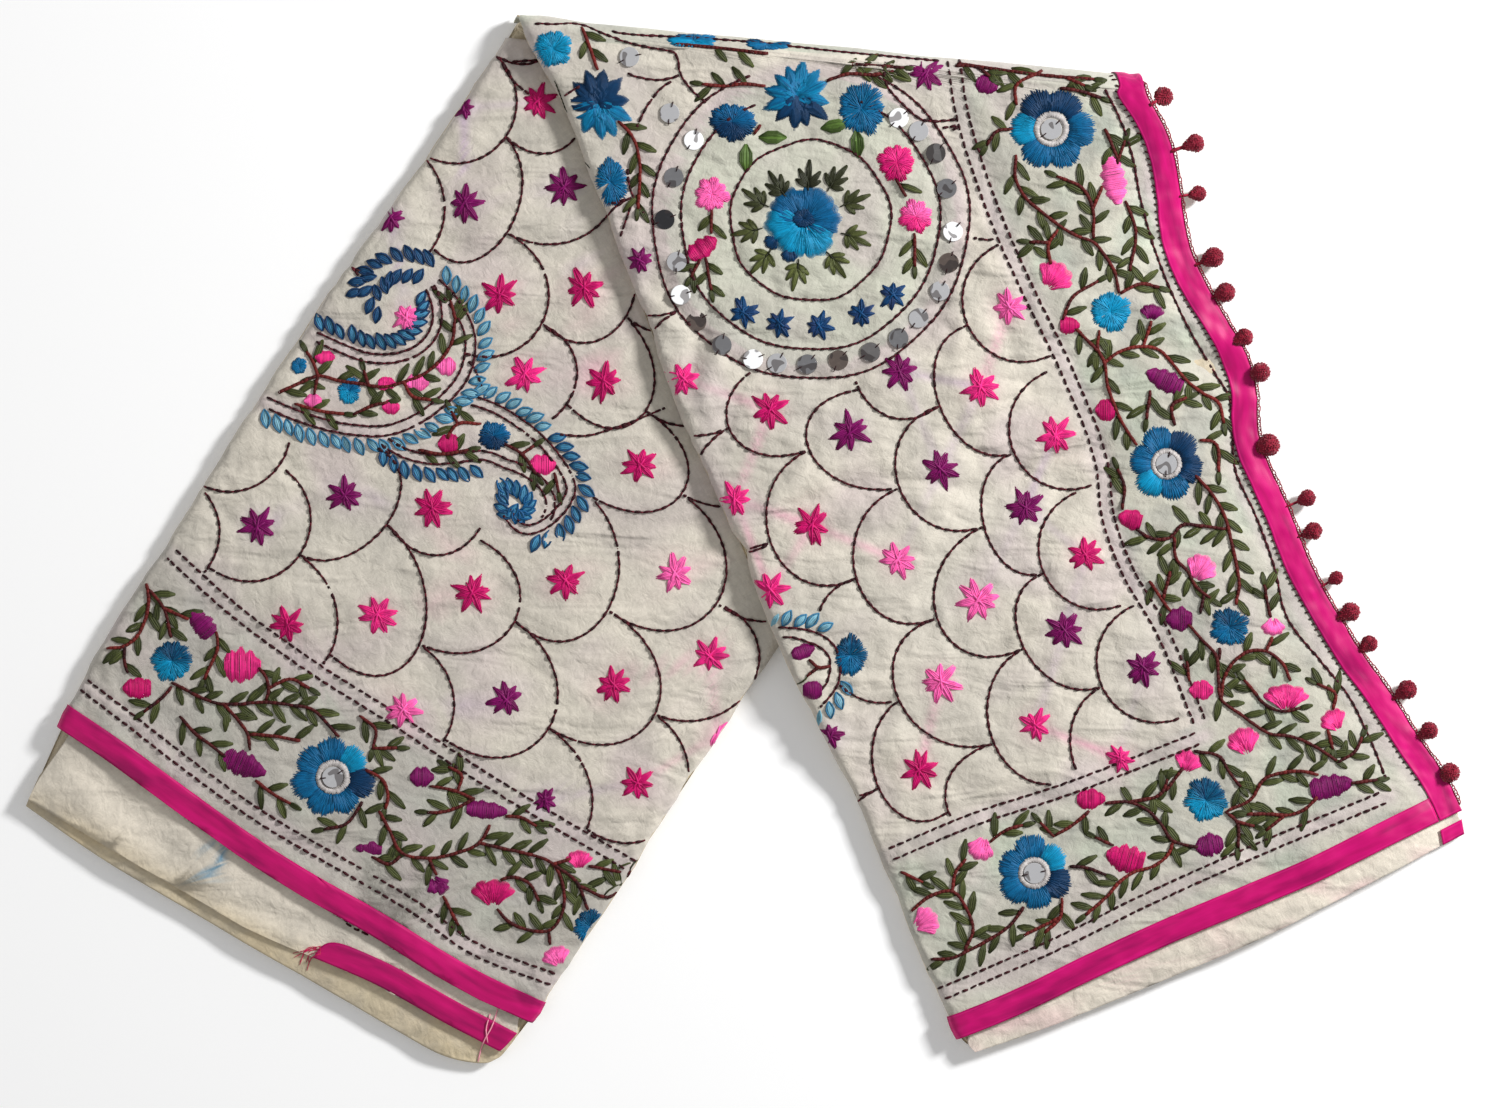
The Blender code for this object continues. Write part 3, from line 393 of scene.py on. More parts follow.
# Stems of the leafy vines, each from its root to its tip.
RIGHT_STEMS = [
    [(956, 67), (977, 69), (988, 78)],
    [(958, 65), (990, 70), (1018, 74), (1053, 78), (1092, 81)], [(1066, 80), (1084, 88)],
    [(1040, 73), (1014, 90), (1015, 106)], [(1060, 90), (1082, 94), (1100, 100)],
    [(1010, 131), (996, 133), (985, 148)],
    [(1015, 158), (1014, 178), (1025, 200), (1040, 213), (1058, 227), (1075, 237), (1093, 244),
     (1104, 257), (1113, 271), (1118, 293)],
    [(1092, 238), (1091, 209), (1082, 191), (1056, 178)], [(1092, 209), (1101, 188)],
    [(1125, 203), (1135, 231), (1129, 271)], [(1116, 164), (1124, 141)], [(1104, 132), (1116, 160)],
    [(1049, 264), (1047, 246), (1057, 231)], [(1047, 244), (1028, 243)],
    [(1062, 319), (1071, 299), (1097, 282)], [(1121, 293), (1141, 284), (1161, 288)],
    [(1099, 332), (1097, 348), (1104, 363), (1107, 385), (1112, 400), (1120, 419), (1136, 445)],
    [(1076, 330), (1098, 352)],
    [(1104, 363), (1119, 352), (1137, 347), (1159, 350), (1172, 363), (1185, 379), (1201, 392),
     (1219, 403), (1224, 423)],
    [(1143, 347), (1152, 320)], [(1150, 392), (1146, 420)], [(1174, 424), (1172, 405), (1186, 398)],
    [(1201, 440), (1214, 442), (1219, 474)],
    [(1196, 476), (1214, 497), (1224, 515), (1231, 541), (1236, 564), (1239, 587), (1235, 606)],
    [(1224, 529), (1201, 526), (1182, 525), (1169, 538), (1150, 538), (1136, 529)],
    [(1174, 538), (1176, 559), (1187, 571), (1196, 587), (1210, 598)],
    [(1122, 508), (1124, 486), (1118, 470)],
    [(1150, 582), (1162, 600), (1170, 611)], [(1163, 598), (1170, 572)],
    [(1189, 625), (1201, 639), (1216, 656), (1218, 676), (1221, 699), (1240, 714), (1252, 723),
     (1271, 734), (1289, 736), (1304, 741), (1319, 749), (1338, 762)],
    [(1219, 658), (1220, 646)], [(1200, 612), (1204, 594)],
    [(1221, 697), (1224, 678), (1235, 660), (1249, 651), (1265, 651), (1281, 662), (1291, 683)],
    [(1270, 616), (1267, 600), (1264, 582)], [(1266, 650), (1272, 638)],
    [(1254, 692), (1262, 702), (1280, 711), (1300, 708)], [(1256, 694), (1244, 680)],
    [(1189, 680), (1187, 662)], [(1333, 708), (1336, 695), (1318, 684)],
    [(1328, 731), (1333, 752)], [(1338, 762), (1356, 750), (1362, 738)],
    [(1182, 769), (1166, 790)], [(1195, 751), (1221, 758), (1227, 769), (1241, 788)],
    [(1228, 810), (1251, 799), (1264, 779), (1286, 772), (1301, 771), (1318, 775)],
    [(1350, 783), (1376, 780)],
    [(1316, 798), (1306, 808), (1289, 815), (1271, 814), (1245, 814)], [(1284, 816), (1266, 830)],
    [(1226, 812), (1236, 821), (1238, 848)], [(1236, 821), (1253, 826)],
    [(1197, 847), (1182, 844), (1173, 841), (1160, 823), (1147, 810), (1129, 802), (1105, 803)],
    [(1129, 802), (1162, 792), (1168, 778)],
    [(1088, 812), (1071, 826), (1053, 836)], [(1053, 836), (1040, 822)],
    [(1173, 841), (1168, 854), (1151, 867), (1136, 871), (1119, 882), (1108, 895), (1086, 914)],
    [(1112, 845), (1095, 837)], [(1071, 866), (1088, 868), (1106, 875)],
    [(1062, 899), (1060, 917), (1045, 932)], [(1060, 917), (1022, 936)],
    [(1023, 908), (1010, 925), (988, 940), (967, 951), (952, 958), (930, 959)],
    [(965, 949), (973, 930), (967, 910), (952, 891), (932, 895), (910, 912)],
    [(952, 891), (956, 871), (967, 858)], [(991, 841), (1006, 830), (1024, 825)],
    [(902, 872), (922, 882)], [(810, 660), (818, 667), (829, 666)], [(818, 667), (806, 676)],
]
MEDALLION_STEMS = [
    [(764, 88), (745, 86), (722, 88), (703, 86)], [(828, 82), (848, 76), (872, 77), (894, 73)],
    [(583, 30), (591, 51), (598, 72)], [(620, 124), (632, 137), (640, 163), (640, 188), (638, 212)],
    [(712, 212), (711, 236)], [(706, 260), (711, 290)], [(896, 182), (906, 200)],
    [(914, 236), (914, 268)], [(700, 262), (690, 280)], [(760, 128), (752, 138)],
    [(676, 46), (720, 50), (770, 56)], [(850, 66), (905, 70)],
]
LEFT_STEMS = [
    [(147, 585), (149, 599), (145, 621), (135, 639), (125, 646), (107, 648)],
    [(150, 590), (164, 608), (171, 637)], [(164, 608), (190, 620)],
    [(217, 633), (218, 648), (211, 665), (204, 680)], [(125, 646), (125, 662), (128, 674)],
    [(173, 683), (181, 687), (198, 696), (217, 703), (238, 704), (265, 702), (291, 705),
     (312, 709), (328, 724), (340, 738)],
    [(171, 688), (164, 696), (145, 711)],
    [(225, 705), (240, 722), (248, 734), (250, 750)], [(252, 734), (274, 736), (301, 741)],
    [(181, 717), (196, 734), (211, 745), (227, 758)],
    [(259, 667), (267, 679), (269, 690), (265, 702)], [(269, 688), (291, 679), (309, 688)],
    [(257, 781), (269, 791), (291, 804)],
    [(361, 716), (376, 730), (373, 748)], [(374, 748), (396, 748)],
    [(367, 770), (383, 780), (388, 799), (385, 810)], [(362, 803), (346, 824), (325, 829)],
    [(431, 786), (456, 791), (474, 799)], [(458, 790), (462, 776), (448, 766)],
    [(474, 799), (456, 808), (442, 812), (426, 812)],
    [(380, 812), (390, 831), (401, 852), (429, 858), (456, 853), (479, 843), (491, 824)],
    [(373, 857), (390, 864), (401, 856)],
    [(481, 843), (502, 848), (525, 853), (553, 864), (564, 891), (562, 914), (550, 930),
     (530, 930), (507, 920), (497, 908)],
    [(553, 864), (570, 859)], [(555, 865), (576, 881), (588, 910)], [(580, 886), (610, 897),
    (630, 872)],
    [(507, 816), (523, 818), (536, 826)], [(429, 858), (436, 874)], [(444, 897), (458, 925)],
    [(502, 879), (514, 877), (530, 884), (539, 902)], [(549, 930), (550, 946)],
    [(590, 866), (620, 872)],
    [(300, 383), (318, 376), (340, 381), (362, 384), (384, 387), (404, 382), (424, 374),
     (441, 360), (452, 342), (455, 318)],
    [(318, 376), (313, 362), (307, 352)], [(318, 376), (314, 394)], [(404, 382), (412, 396),
    (430, 400)],
    [(280, 392), (300, 383)], [(354, 414), (372, 406), (390, 402)], [(296, 404), (320, 411),
    (344, 414)],
    [(368, 384), (364, 370)], [(455, 318), (450, 298)],
    [(480, 424), (458, 424), (446, 440)], [(458, 424), (452, 412)],
    [(505, 444), (522, 454), (536, 474)], [(522, 454), (534, 446)],
    [(555, 474), (559, 494)], [(420, 450), (440, 454), (468, 450)],
]

# Paisleys: double running lines, as a step to the left and the line.
LEFT_PAISLEY_PAIRS = [
    (10, [(262, 406), (300, 422), (347, 434), (390, 435), (421, 423), (449, 402), (467, 380),
          (475, 354), (474, 330), (465, 310), (452, 292), (436, 277)]),
    (9, [(312, 340), (339, 352), (367, 362), (398, 362), (420, 354), (436, 338), (442, 318),
         (440, 300), (434, 284)]),
    (-9, [(470, 395), (494, 403), (523, 420), (543, 436), (560, 456), (572, 475), (576, 489),
          (570, 505), (555, 522), (539, 532), (523, 534), (511, 526), (502, 513)]),
    (9, [(380, 444), (400, 456), (431, 464), (462, 462), (486, 460), (502, 467), (523, 475),
         (539, 487), (547, 505), (541, 520)]),
]

# Rows of looped leaves, as the side of the line, the pitch in millimetres, the colours of
# the loops and their filling, and the line.
PAISLEY_LEAVES = [
    (1, 7.2, STEEL_BLUE, PALE_BLUE, [
        (264, 408), (300, 424), (347, 436), (390, 437), (421, 425), (449, 404), (469, 380),
        (477, 354), (476, 330), (466, 308), (452, 290), (436, 276)]),
    (1, 6.2, DEEP_BLUE, MID_BLUE, [
        (434, 268), (412, 263), (392, 264), (376, 272), (364, 287), (357, 304)]),
    (-1, 6.6, DEEP_BLUE, MID_BLUE, [
        (424, 268), (408, 268), (392, 270), (378, 279), (368, 294)]),
    (1, 6.4, DEEP_BLUE, MID_BLUE, [(378, 276), (373, 290), (378, 304), (390, 315)]),
    (1, 6.6, DEEP_BLUE, STEEL_BLUE, [
        (426, 290), (431, 304), (430, 318), (424, 331), (411, 343), (394, 350), (368, 349),
        (338, 338), (308, 326)]),
    (-1, 7.0, STEEL_BLUE, PALE_BLUE, [(472, 395), (494, 403), (523, 420), (545, 438)]),
    (-1, 6.6, MID_BLUE, STEEL_BLUE, [
        (547, 439), (562, 456), (574, 475), (578, 489), (572, 505), (557, 524), (539, 534),
        (520, 537)]),
    (1, 6.8, MID_BLUE, STEEL_BLUE, [
        (384, 447), (400, 458), (431, 467), (462, 465), (486, 463)]),
    (1, 6.0, STRONG_BLUE, STEEL_BLUE, [
        (497, 476), (514, 478), (530, 488), (538, 503), (534, 517), (520, 526), (507, 520),
        (503, 507)]),
    (-1, 6.4, MID_BLUE, STEEL_BLUE, [(500, 484), (494, 496), (494, 510), (502, 524)]),
]
SMALL_PAISLEY_LEAVES = [
    (-1, 7.0, STEEL_BLUE, PALE_BLUE, [
        (770, 628), (788, 627), (803, 628), (822, 633), (834, 642)]),
    (-1, 7.0, STEEL_BLUE, PALE_BLUE, [(840, 680), (834, 694), (822, 706), (808, 716)]),
]

# Creases of the legs, as start, end, half width and height in millimetres, where a trough
# is negative.
RIGHT_CREASES = [
    ((740, 552), (860, 482), 11, -1.5), ((860, 482), (990, 495), 9, -1.2),
    ((990, 495), (1112, 440), 10, -1.3), ((735, 530), (845, 466), 10, 1.0),
    ((995, 478), (1105, 425), 10, 0.8), ((705, 410), (722, 345), 9, 1.3),
    ((690, 380), (712, 300), 8, -1.1), ((760, 525), (800, 478), 8, 1.0),
    ((722, 460), (742, 392), 8, -0.9), ((960, 262), (1010, 345), 14, -1.1),
    ((930, 352), (1062, 326), 8, 0.6), ((1238, 378), (1130, 322), 14, -1.6),
    ((1250, 350), (1160, 300), 12, 1.0), ((860, 768), (985, 795), 14, -1.1),
    ((1000, 664), (1112, 612), 12, -0.9), ((1010, 640), (1090, 600), 9, 0.7),
    ((1122, 702), (1165, 640), 10, -0.8), ((1240, 702), (1322, 680), 11, -1.0),
    ((640, 280), (700, 334), 10, -0.9), ((650, 250), (735, 330), 9, 0.7),
    ((880, 620), (905, 780), 11, 0.6), ((925, 560), (1060, 520), 12, 0.6),
    ((1040, 560), (1140, 660), 16, 0.8), ((890, 880), (950, 985), 12, -0.8),
    ((1020, 100), (1120, 150), 16, 0.7), ((740, 600), (842, 560), 14, 0.7),
    ((1170, 250), (1100, 290), 10, 0.6), ((1300, 600), (1220, 590), 9, -0.7),
    ((1360, 700), (1300, 640), 10, 0.7), ((1140, 900), (1250, 852), 12, 0.6),
]
LEFT_CREASES = [
    ((640, 530), (545, 690), 10, 0.9), ((610, 520), (520, 660), 11, -0.7),
    ((470, 250), (525, 205), 10, 0.8), ((485, 268), (545, 225), 9, -0.7),
    ((300, 500), (352, 575), 10, -0.7), ((420, 640), (470, 560), 12, 0.6),
    ((260, 590), (400, 640), 14, 0.6), ((520, 760), (620, 700), 14, -0.7),
    ((400, 800), (520, 870), 16, 0.7), ((180, 700), (300, 790), 16, 0.6),
    ((560, 90), (590, 180), 16, -1.0), ((640, 300), (700, 470), 18, -0.7),
    ((350, 450), (470, 420), 12, 0.6), ((520, 230), (600, 240), 12, 0.6),
    ((700, 620), (640, 760), 14, 0.6), ((93, 786), (143, 822), 17, -0.5),
    ((143, 822), (190, 884), 17, -0.55), ((110, 765), (205, 850), 16, 0.8),
    ((230, 905), (320, 935), 12, -0.8), ((60, 760), (120, 860), 16, 0.7),
]

# Where the body goes under the turn, and the outer edge of the layer below it.
TURN_LINE = [(556, 84), (571, 125), (578, 148), (591, 172)]
SECOND_LAYER_EDGE = [(20, 815), (471, 1075)]

# Lines of the blue stain, as start, end and strength.
STAIN_LINES = (((201, 850), (216, 842), 0.6), ((225, 845), (219, 864), 1.0),
               ((219, 864), (209, 879), 1.0), ((209, 879), (200, 874), 0.8))

# The edge of each ribbon that its length is measured along.
BODY_RIBBON = [(70, 707), (161, 765), (241, 824), (307, 870), (424, 937), (505, 990), (542, 1002)]
SECOND_RIBBON = [(321, 943), (354, 951), (395, 970), (464, 1013), (517, 1038)]
EDGE_RIBBON = [(945, 1015), (1016, 988), (1121, 941), (1262, 877), (1384, 822), (1460, 784)]

# Both edges of the end piece's ribbon, from the crease to the corner.
END_RIBBON_OUTER = [
    (1133, 79), (1156, 104), (1170, 145), (1184, 215), (1191, 248), (1230, 327), (1252, 365),
    (1257, 407), (1255, 432), (1288, 506), (1337, 615), (1388, 690), (1454, 787), (1460, 810),
]
END_RIBBON_INNER = [
    (1104, 74), (1135, 124), (1151, 191), (1161, 227), (1175, 276), (1191, 311), (1217, 343),
    (1239, 384), (1236, 416), (1233, 442), (1276, 561), (1339, 678), (1394, 753), (1426, 793),
]

# The pompoms from the crease down, as x, y and size.
POMPOM_PLACES = [
    (1163, 97, 1.0), (1194, 144, 0.95), (1199, 193, 0.8), (1214, 257, 1.05), (1226, 292, 1.0),
    (1245, 337, 0.9), (1261, 372, 1.0), (1269, 445, 1.15), (1308, 498, 0.85), (1314, 531, 0.9),
    (1337, 578, 0.7), (1351, 612, 1.0), (1370, 644, 0.85), (1408, 690, 1.0), (1430, 731, 0.9),
    (1451, 773, 1.0),
]

# Where the second ribbon frays, into how many threads, and the two lengths of loose yarn.
FRAYED_END = (321, 950)
FRAYED_COUNT = 8
LOOSE_YARN = [
    [(498, 1008), (492, 1026), (483, 1043), (479, 1056), (477, 1066)],
    [(490, 1014), (486, 1030), (488, 1044)],
]


# Curves and places on the plan.
CURVE_FINENESS = 4
FEWEST_STEPS = 6


def even_path(points, pitch):
    """Points a pitch apart along a smooth curve through a few points, on the plan."""
    knots = [Vector(point) for point in points]
    runs = [second - first for first, second in zip(knots, knots[1:])]
    slopes = [run.normalized() for run in runs]
    tangents = [slopes[0]]
    for index in range(1, len(knots) - 1):
        before = runs[index - 1].length
        after = runs[index].length
        tangents.append((slopes[index - 1] * after + slopes[index] * before) / (before + after))
    tangents.append(slopes[-1])
    dense = [knots[0]]
    for index, run in enumerate(runs):
        span = run.length
        steps = max(int(span / pitch * CURVE_FINENESS), FEWEST_STEPS)
        for step in range(1, steps + 1):
            t = step / steps
            square = t * t
            cube = square * t
            dense.append(
                knots[index] * (2 * cube - 3 * square + 1)
                + tangents[index] * span * (cube - 2 * square + t)
                + knots[index + 1] * (3 * square - 2 * cube)
                + tangents[index + 1] * span * (cube - square)
            )
    path = [dense[0]]
    left = pitch
    for first, second in zip(dense, dense[1:]):
        span = (second - first).length
        while span >= left > 0:
            first = first.lerp(second, left / span)
            path.append(first)
            span -= left
            left = pitch
        left -= span
    return path


def drawn(points, pitch=LINE_PITCH):
    """A smooth path through places of the photograph."""
    return even_path(places(points), pitch)


def turned(direction, degrees):
    """A direction on the plan, turned to the left."""
    angle = math.radians(degrees)
    return Vector((
        direction.x * math.cos(angle) - direction.y * math.sin(angle),
        direction.x * math.sin(angle) + direction.y * math.cos(angle),
    ))


def facing(degrees):
    """A direction on the plan at an angle."""
    return turned(Vector((1, 0)), degrees)


def heading(angle):
    """A direction on the plan at an angle in radians."""
    return Vector((math.cos(angle), math.sin(angle)))


def run_at(path, index, reach=1):
    """The way from a little before a point of a path to a little after it."""
    return path[min(index + reach, len(path) - 1)] - path[max(index - reach, 0)]


def beside(path, distance):
    """A path moved to its left."""
    return [
        point + turned(run_at(path, index).normalized(), 90) * distance
        for index, point in enumerate(path)
    ]


def between(first, last, count, bow=0.0):
    """A few plan points from one place to another, bowed to the left."""
    run = last - first
    left = Vector((-run.y, run.x))
    return [
        first + run * share + left * bow * math.sin(math.pi * share)
        for share in (index / (count - 1) for index in range(count))
    ]


def inside(point, outline):
    """Whether a plan point lies within an outline."""
    found = False
    for first, second in zip(outline, outline[1:] + outline[:1]):
        if (first.y > point.y) != (second.y > point.y):
            crossing = first.x + (point.y - first.y) * (second.x - first.x) / (second.y - first.y)
            if point.x < crossing:
                found = not found
    return found


def ring_path(radius, start, end, unevenness):
    """Points round a ring of the medallion, a third of a stitch apart."""
    middle = place(*MEDALLION)
    reach = radius * PIXEL
    count = int(math.radians(end - start) * reach / LINE_PITCH)
    path = []
    for index in range(count + 1):
        angle = math.radians(start + (end - start) * index / count)
        wave = 1 + unevenness * math.sin(angle * 5 + 1.0) + unevenness * math.sin(angle * 9)
        path.append(middle + heading(angle) * reach * wave)
    return path


# The scale pattern: how near a star another one counts as its neighbour, against the rows'
# distance, how far arcs keep out of the holes, and how an arc is drawn.
OWN_ROOM = 0.66
NEIGHBOUR_REACH = 0.62
HOLE_MARGIN = 18 * PIXEL
ARC_STEPS = 40
ARC_FULLNESS = 0.9
SHORTEST_ARC = 4


def ghost_centres(centres, bulge, across, row, half_chord, outline):
    """Places of scales whose stars a border cuts off."""
    found = list(centres)
    middle = sum(outline, Vector((0, 0))) / len(outline)
    for centre in centres:
        for rows, sides in ((1, 1), (1, -1), (-1, 1), (-1, -1), (0, 2), (0, -2)):
            guess = centre + bulge * row * rows + across * half_chord * sides
            free = all((guess - other).length > OWN_ROOM * row for other in found)
            if free and inside(guess.lerp(middle, 0.1), outline):
                found.append(guess)
    return found[len(centres):]


def scale_arcs(stars, scales, field, holes):
    """Arcs of the fish-scale pattern, each round its star from one neighbour's top to another's."""
    bulge = Vector((scales["bulge"][0], -scales["bulge"][1])).normalized()
    across = turned(bulge, 90)
    rise, row, half_chord = (scales[key] * PIXEL for key in ("rise", "row", "half_chord"))
    outline = places(field)
    centres = [place(star[0], star[1]) for star in stars]
    centres += ghost_centres(centres, bulge, across, row, half_chord, outline)
    tree = tree_of(centres)
    gaps = [(place(*centre), radius * PIXEL) for centre, radius in holes]
    arcs = []
    for centre in centres:
        if any((centre - gap).length < radius - HOLE_MARGIN for gap, radius in gaps):
            continue
        ends = []
        for side in (1, -1):
            guess = centre - bulge * row + across * half_chord * side
            found, index, distance = tree.find(on_floor(guess))
            if distance < NEIGHBOUR_REACH * row:
                guess = found.to_2d()
            ends.append(guess + bulge * rise)
        top = centre + bulge * rise
        middle = (ends[0] + ends[1]) / 2
        arc = []
        for step in range(ARC_STEPS + 1):
            angle = math.radians(-90 + 180 * step / ARC_STEPS)
            base = middle.lerp(ends[1] if angle > 0 else ends[0], abs(math.sin(angle)))
            arc.append(base + (top - middle) * math.cos(angle) ** ARC_FULLNESS)
        kept = []
        for point in even_path(arc, LINE_PITCH) + [None]:
            clear = point is not None and all((point - gap).length > radius for gap, radius in gaps)
            if clear and inside(point, outline):
                kept.append(point)
                continue
            if len(kept) > SHORTEST_ARC:
                arcs.append(kept)
            kept = []
    return arcs


def running_lines():
    """Every running stitch line of each leg, and whether its thread shows between stitches."""
    right = scale_arcs(RIGHT_STARS, RIGHT_SCALES, RIGHT_FIELD, RIGHT_HOLES)
    left = scale_arcs(LEFT_STARS, LEFT_SCALES, LEFT_FIELD, LEFT_HOLES)
    linked = {
        "right": right + [drawn(points) for points in RIGHT_LINES],
        "left": left + [drawn(points) for points in LEFT_LINES],
    }
    for step, points in LEFT_PAISLEY_PAIRS:
        path = drawn(points)
        linked["left"] += [path, beside(path, step * PIXEL)]
    lines = {leg: [(path, True) for path in paths] for leg, paths in linked.items()}
    for leg, pairs in (("right", RIGHT_BORDERS), ("left", LEFT_BORDERS)):
        for path in map(drawn, pairs):
            lines[leg] += [(path, False), (beside(path, DOUBLE_STEP * PIXEL), False)]
    lines["right"].append((ring_path(MEDALLION_INNER, 0, 366, 0.01), True))
    start, end = MEDALLION_OPENING[1], MEDALLION_OPENING[0] + 360
    lines["right"] += [(ring_path(radius, start, end, 0.006), True) for radius in MEDALLION_RINGS]
    return lines


LINES = running_lines()


# Cloth relief: creases, soft swells, as height and size, and the pull of the stitches.
SWELLS = ((1.3 * MM, 55 * MM), (0.9 * MM, 24 * MM))


def line_tree(paths):
    """A search tree over the points of many paths."""
    return tree_of([point for path in paths for point in path])


def bell(distance, width):
    """One at no distance, falling to nothing a few widths away."""
    return math.exp(-(distance / width) ** 2)


class Relief:
    """How far one leg's cloth stands out from its plain form."""

    def __init__(self, creases, lines, seed):
        self.creases = []
        for start, end, half_width, height in creases:
            first = place(*start)
            last = place(*end)
            self.creases.append((first, last - first, half_width * MM / 1.7, 1.85 * height * MM))
        self.stitches = line_tree([path for path, linked in lines])
        self.offset = Vector((seed, 2.0 * seed, 0.5 * seed))

    def swell(self, point):
        """Broad soft unevenness, shared by all the layers of a leg, and its creases."""
        flat = on_floor(point)
        height = 0.0
        for number, (amount, size) in enumerate(SWELLS, 1):
            height += amount * noise.noise(flat / size + self.offset * number)
        for start, run, half_width, amount in self.creases:
            offset = Vector((point.x, point.y)) - start
            share = offset.dot(run) / run.length_squared
            if -0.35 < share < 1.35:
                bend = 0.12 * run.length * math.sin(math.pi * min(max(share, 0), 1))
                aside = (offset.x * run.y - offset.y * run.x) / run.length + bend * 0.4
                fade = math.exp(-max(abs(share - 0.5) - 0.3, 0) ** 2 / 0.05)
                height += amount * bell(aside, half_width) * fade
        return height

    def pull(self, point):
        """The dip along a stitch line, the puff beside it and the small puckers round it."""
        flat = on_floor(point)
        distance = self.stitches.find(flat)[2]
        dip = -0.5 * MM * bell(distance, 2.0 * MM)
        puff = 0.7 * MM * (1 - bell(distance, 8 * MM))
        near = bell(distance, 10 * MM)
        pucker = (0.5 + 0.8 * near) * MM * noise.noise(flat / 0.0085 + self.offset * 3)
        fine = 0.32 * MM * noise.noise(flat / 0.0044 + self.offset * 4)
        return dip + puff + pucker + fine


RELIEF = {
    "right": Relief(RIGHT_CREASES, LINES["right"], 3.7),
    "left": Relief(LEFT_CREASES, LINES["left"], 9.1),
}


# Shells cut from the frame's solids.
def outer_sheet(node):
    """The upper side of a cloth wall, as an open surface of quads."""
    sheet = bmesh.new()
    sheet.from_mesh(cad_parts[node].data)
    bmesh.ops.remove_doubles(sheet, verts=sheet.verts[:], dist=MERGE)
    sheet.normal_update()
    level = [face for face in sheet.faces if face.normal.z > UPPER_FACE]
    start = max(level, key=lambda face: face.calc_center_median().z)
    kept = {start}
    edge = [start]
    while edge:
        face = edge.pop()
        for other in (other for side in face.edges for other in side.link_faces):
            if other not in kept and face.normal.angle(other.normal, math.pi) < STEEPEST_FACE:
                kept.add(other)
                edge.append(other)
    extra = [face for face in sheet.faces if face not in kept]
    bmesh.ops.delete(sheet, geom=extra, context="FACES")
    bmesh.ops.join_triangles(
        sheet, faces=sheet.faces[:], angle_face_threshold=1.2, angle_shape_threshold=1.4,
    )
    return sheet


def in_scene(name, data):
    """A new object with its mesh, light or camera data."""
    made = bpy.data.objects.new(name, data)
    bpy.context.scene.collection.objects.link(made)
    return made


def from_bmesh(name, shape, smooth=True):
    mesh = bpy.data.meshes.new(name)
    shape.to_mesh(mesh)
    shape.free()
    if smooth:
        mesh.shade_smooth()
    return in_scene(name, mesh)


def subdivided(made, levels):
    """The object as a subdivided mesh, in place of the object."""
    finer = made.modifiers.new("finer", "SUBSURF")
    finer.levels = levels
    finer.render_levels = levels
    finer.boundary_smooth = "PRESERVE_CORNERS"
    bpy.context.view_layer.update()
    evaluated = made.evaluated_get(bpy.context.evaluated_depsgraph_get())
    mesh = bpy.data.meshes.new_from_object(evaluated)
    name, old = made.name, made.data
    bpy.data.objects.remove(made)
    bpy.data.meshes.remove(old)
    mesh.name = name
    return in_scene(name, mesh)


def with_wall(made, thickness):
    """Give an open sheet its thickness, downwards."""
    wall = made.modifiers.new("thickness", "SOLIDIFY")
    wall.thickness = thickness
    wall.offset = -1
    wall.use_even_offset = False
    wall.use_rim = True
    return made


def evened(made):
    """Smooth the inside of a sheet, with its edge kept."""
    shape = bmesh.new()
    shape.from_mesh(made.data)
    inner = [vert for vert in shape.verts if not vert.is_boundary]
    for _ in range(SMOOTHING_ROUNDS):
        bmesh.ops.smooth_vert(shape, verts=inner, factor=0.5, use_axis_x=True, use_axis_y=True,
                              use_axis_z=True)
    shape.to_mesh(made.data)
    shape.free()


def finer_sheet(name, node, levels, leg, stitched, fullness=None):
    """A finer sheet on a node's form, moved out along its normals by its leg's relief."""
    made = subdivided(from_bmesh(name, outer_sheet(node)), levels)
    if fullness is None:
        evened(made)
    mesh = made.data
    moves = [(vert.normal.copy(), vert.co.copy()) for vert in mesh.vertices]
    for vert, (normal, point) in zip(mesh.vertices, moves):
        height = RELIEF[leg].swell(point)
        if stitched:
            height += RELIEF[leg].pull(point)
        if fullness:
            height += fullness(point)
        vert.co = point + normal * height
    mesh.update()
    return made


class Cloth:
    """The face of one leg, as something to lay threads on."""

    def __init__(self, made, over=None):
        points = [vert.co.copy() for vert in made.data.vertices]
        sides = [tuple(face.vertices) for face in made.data.polygons]
        self.tree = BVHTree.FromPolygons(points, sides)
        self.over = over

    def height(self, x, y):
        """The cloth's height at a plan point, or None beside it or under the other leg."""
        if self.over is not None and self.over.height(x, y) is not None:
            return None
        hit = self.tree.ray_cast(Vector((x, y, SKY)), Vector((0, 0, -1)))
        return None if hit[0] is None else hit[0].z


def store(mesh, name, kind, field, values):
    """Keep values on a mesh's points under a name."""
    mesh.attributes.new(name, kind, "POINT").data.foreach_set(field, values)


# Threads.
TIP_TAPER = 0.6
SHADES = (0.82, 1.16)
TINY = 1e-12


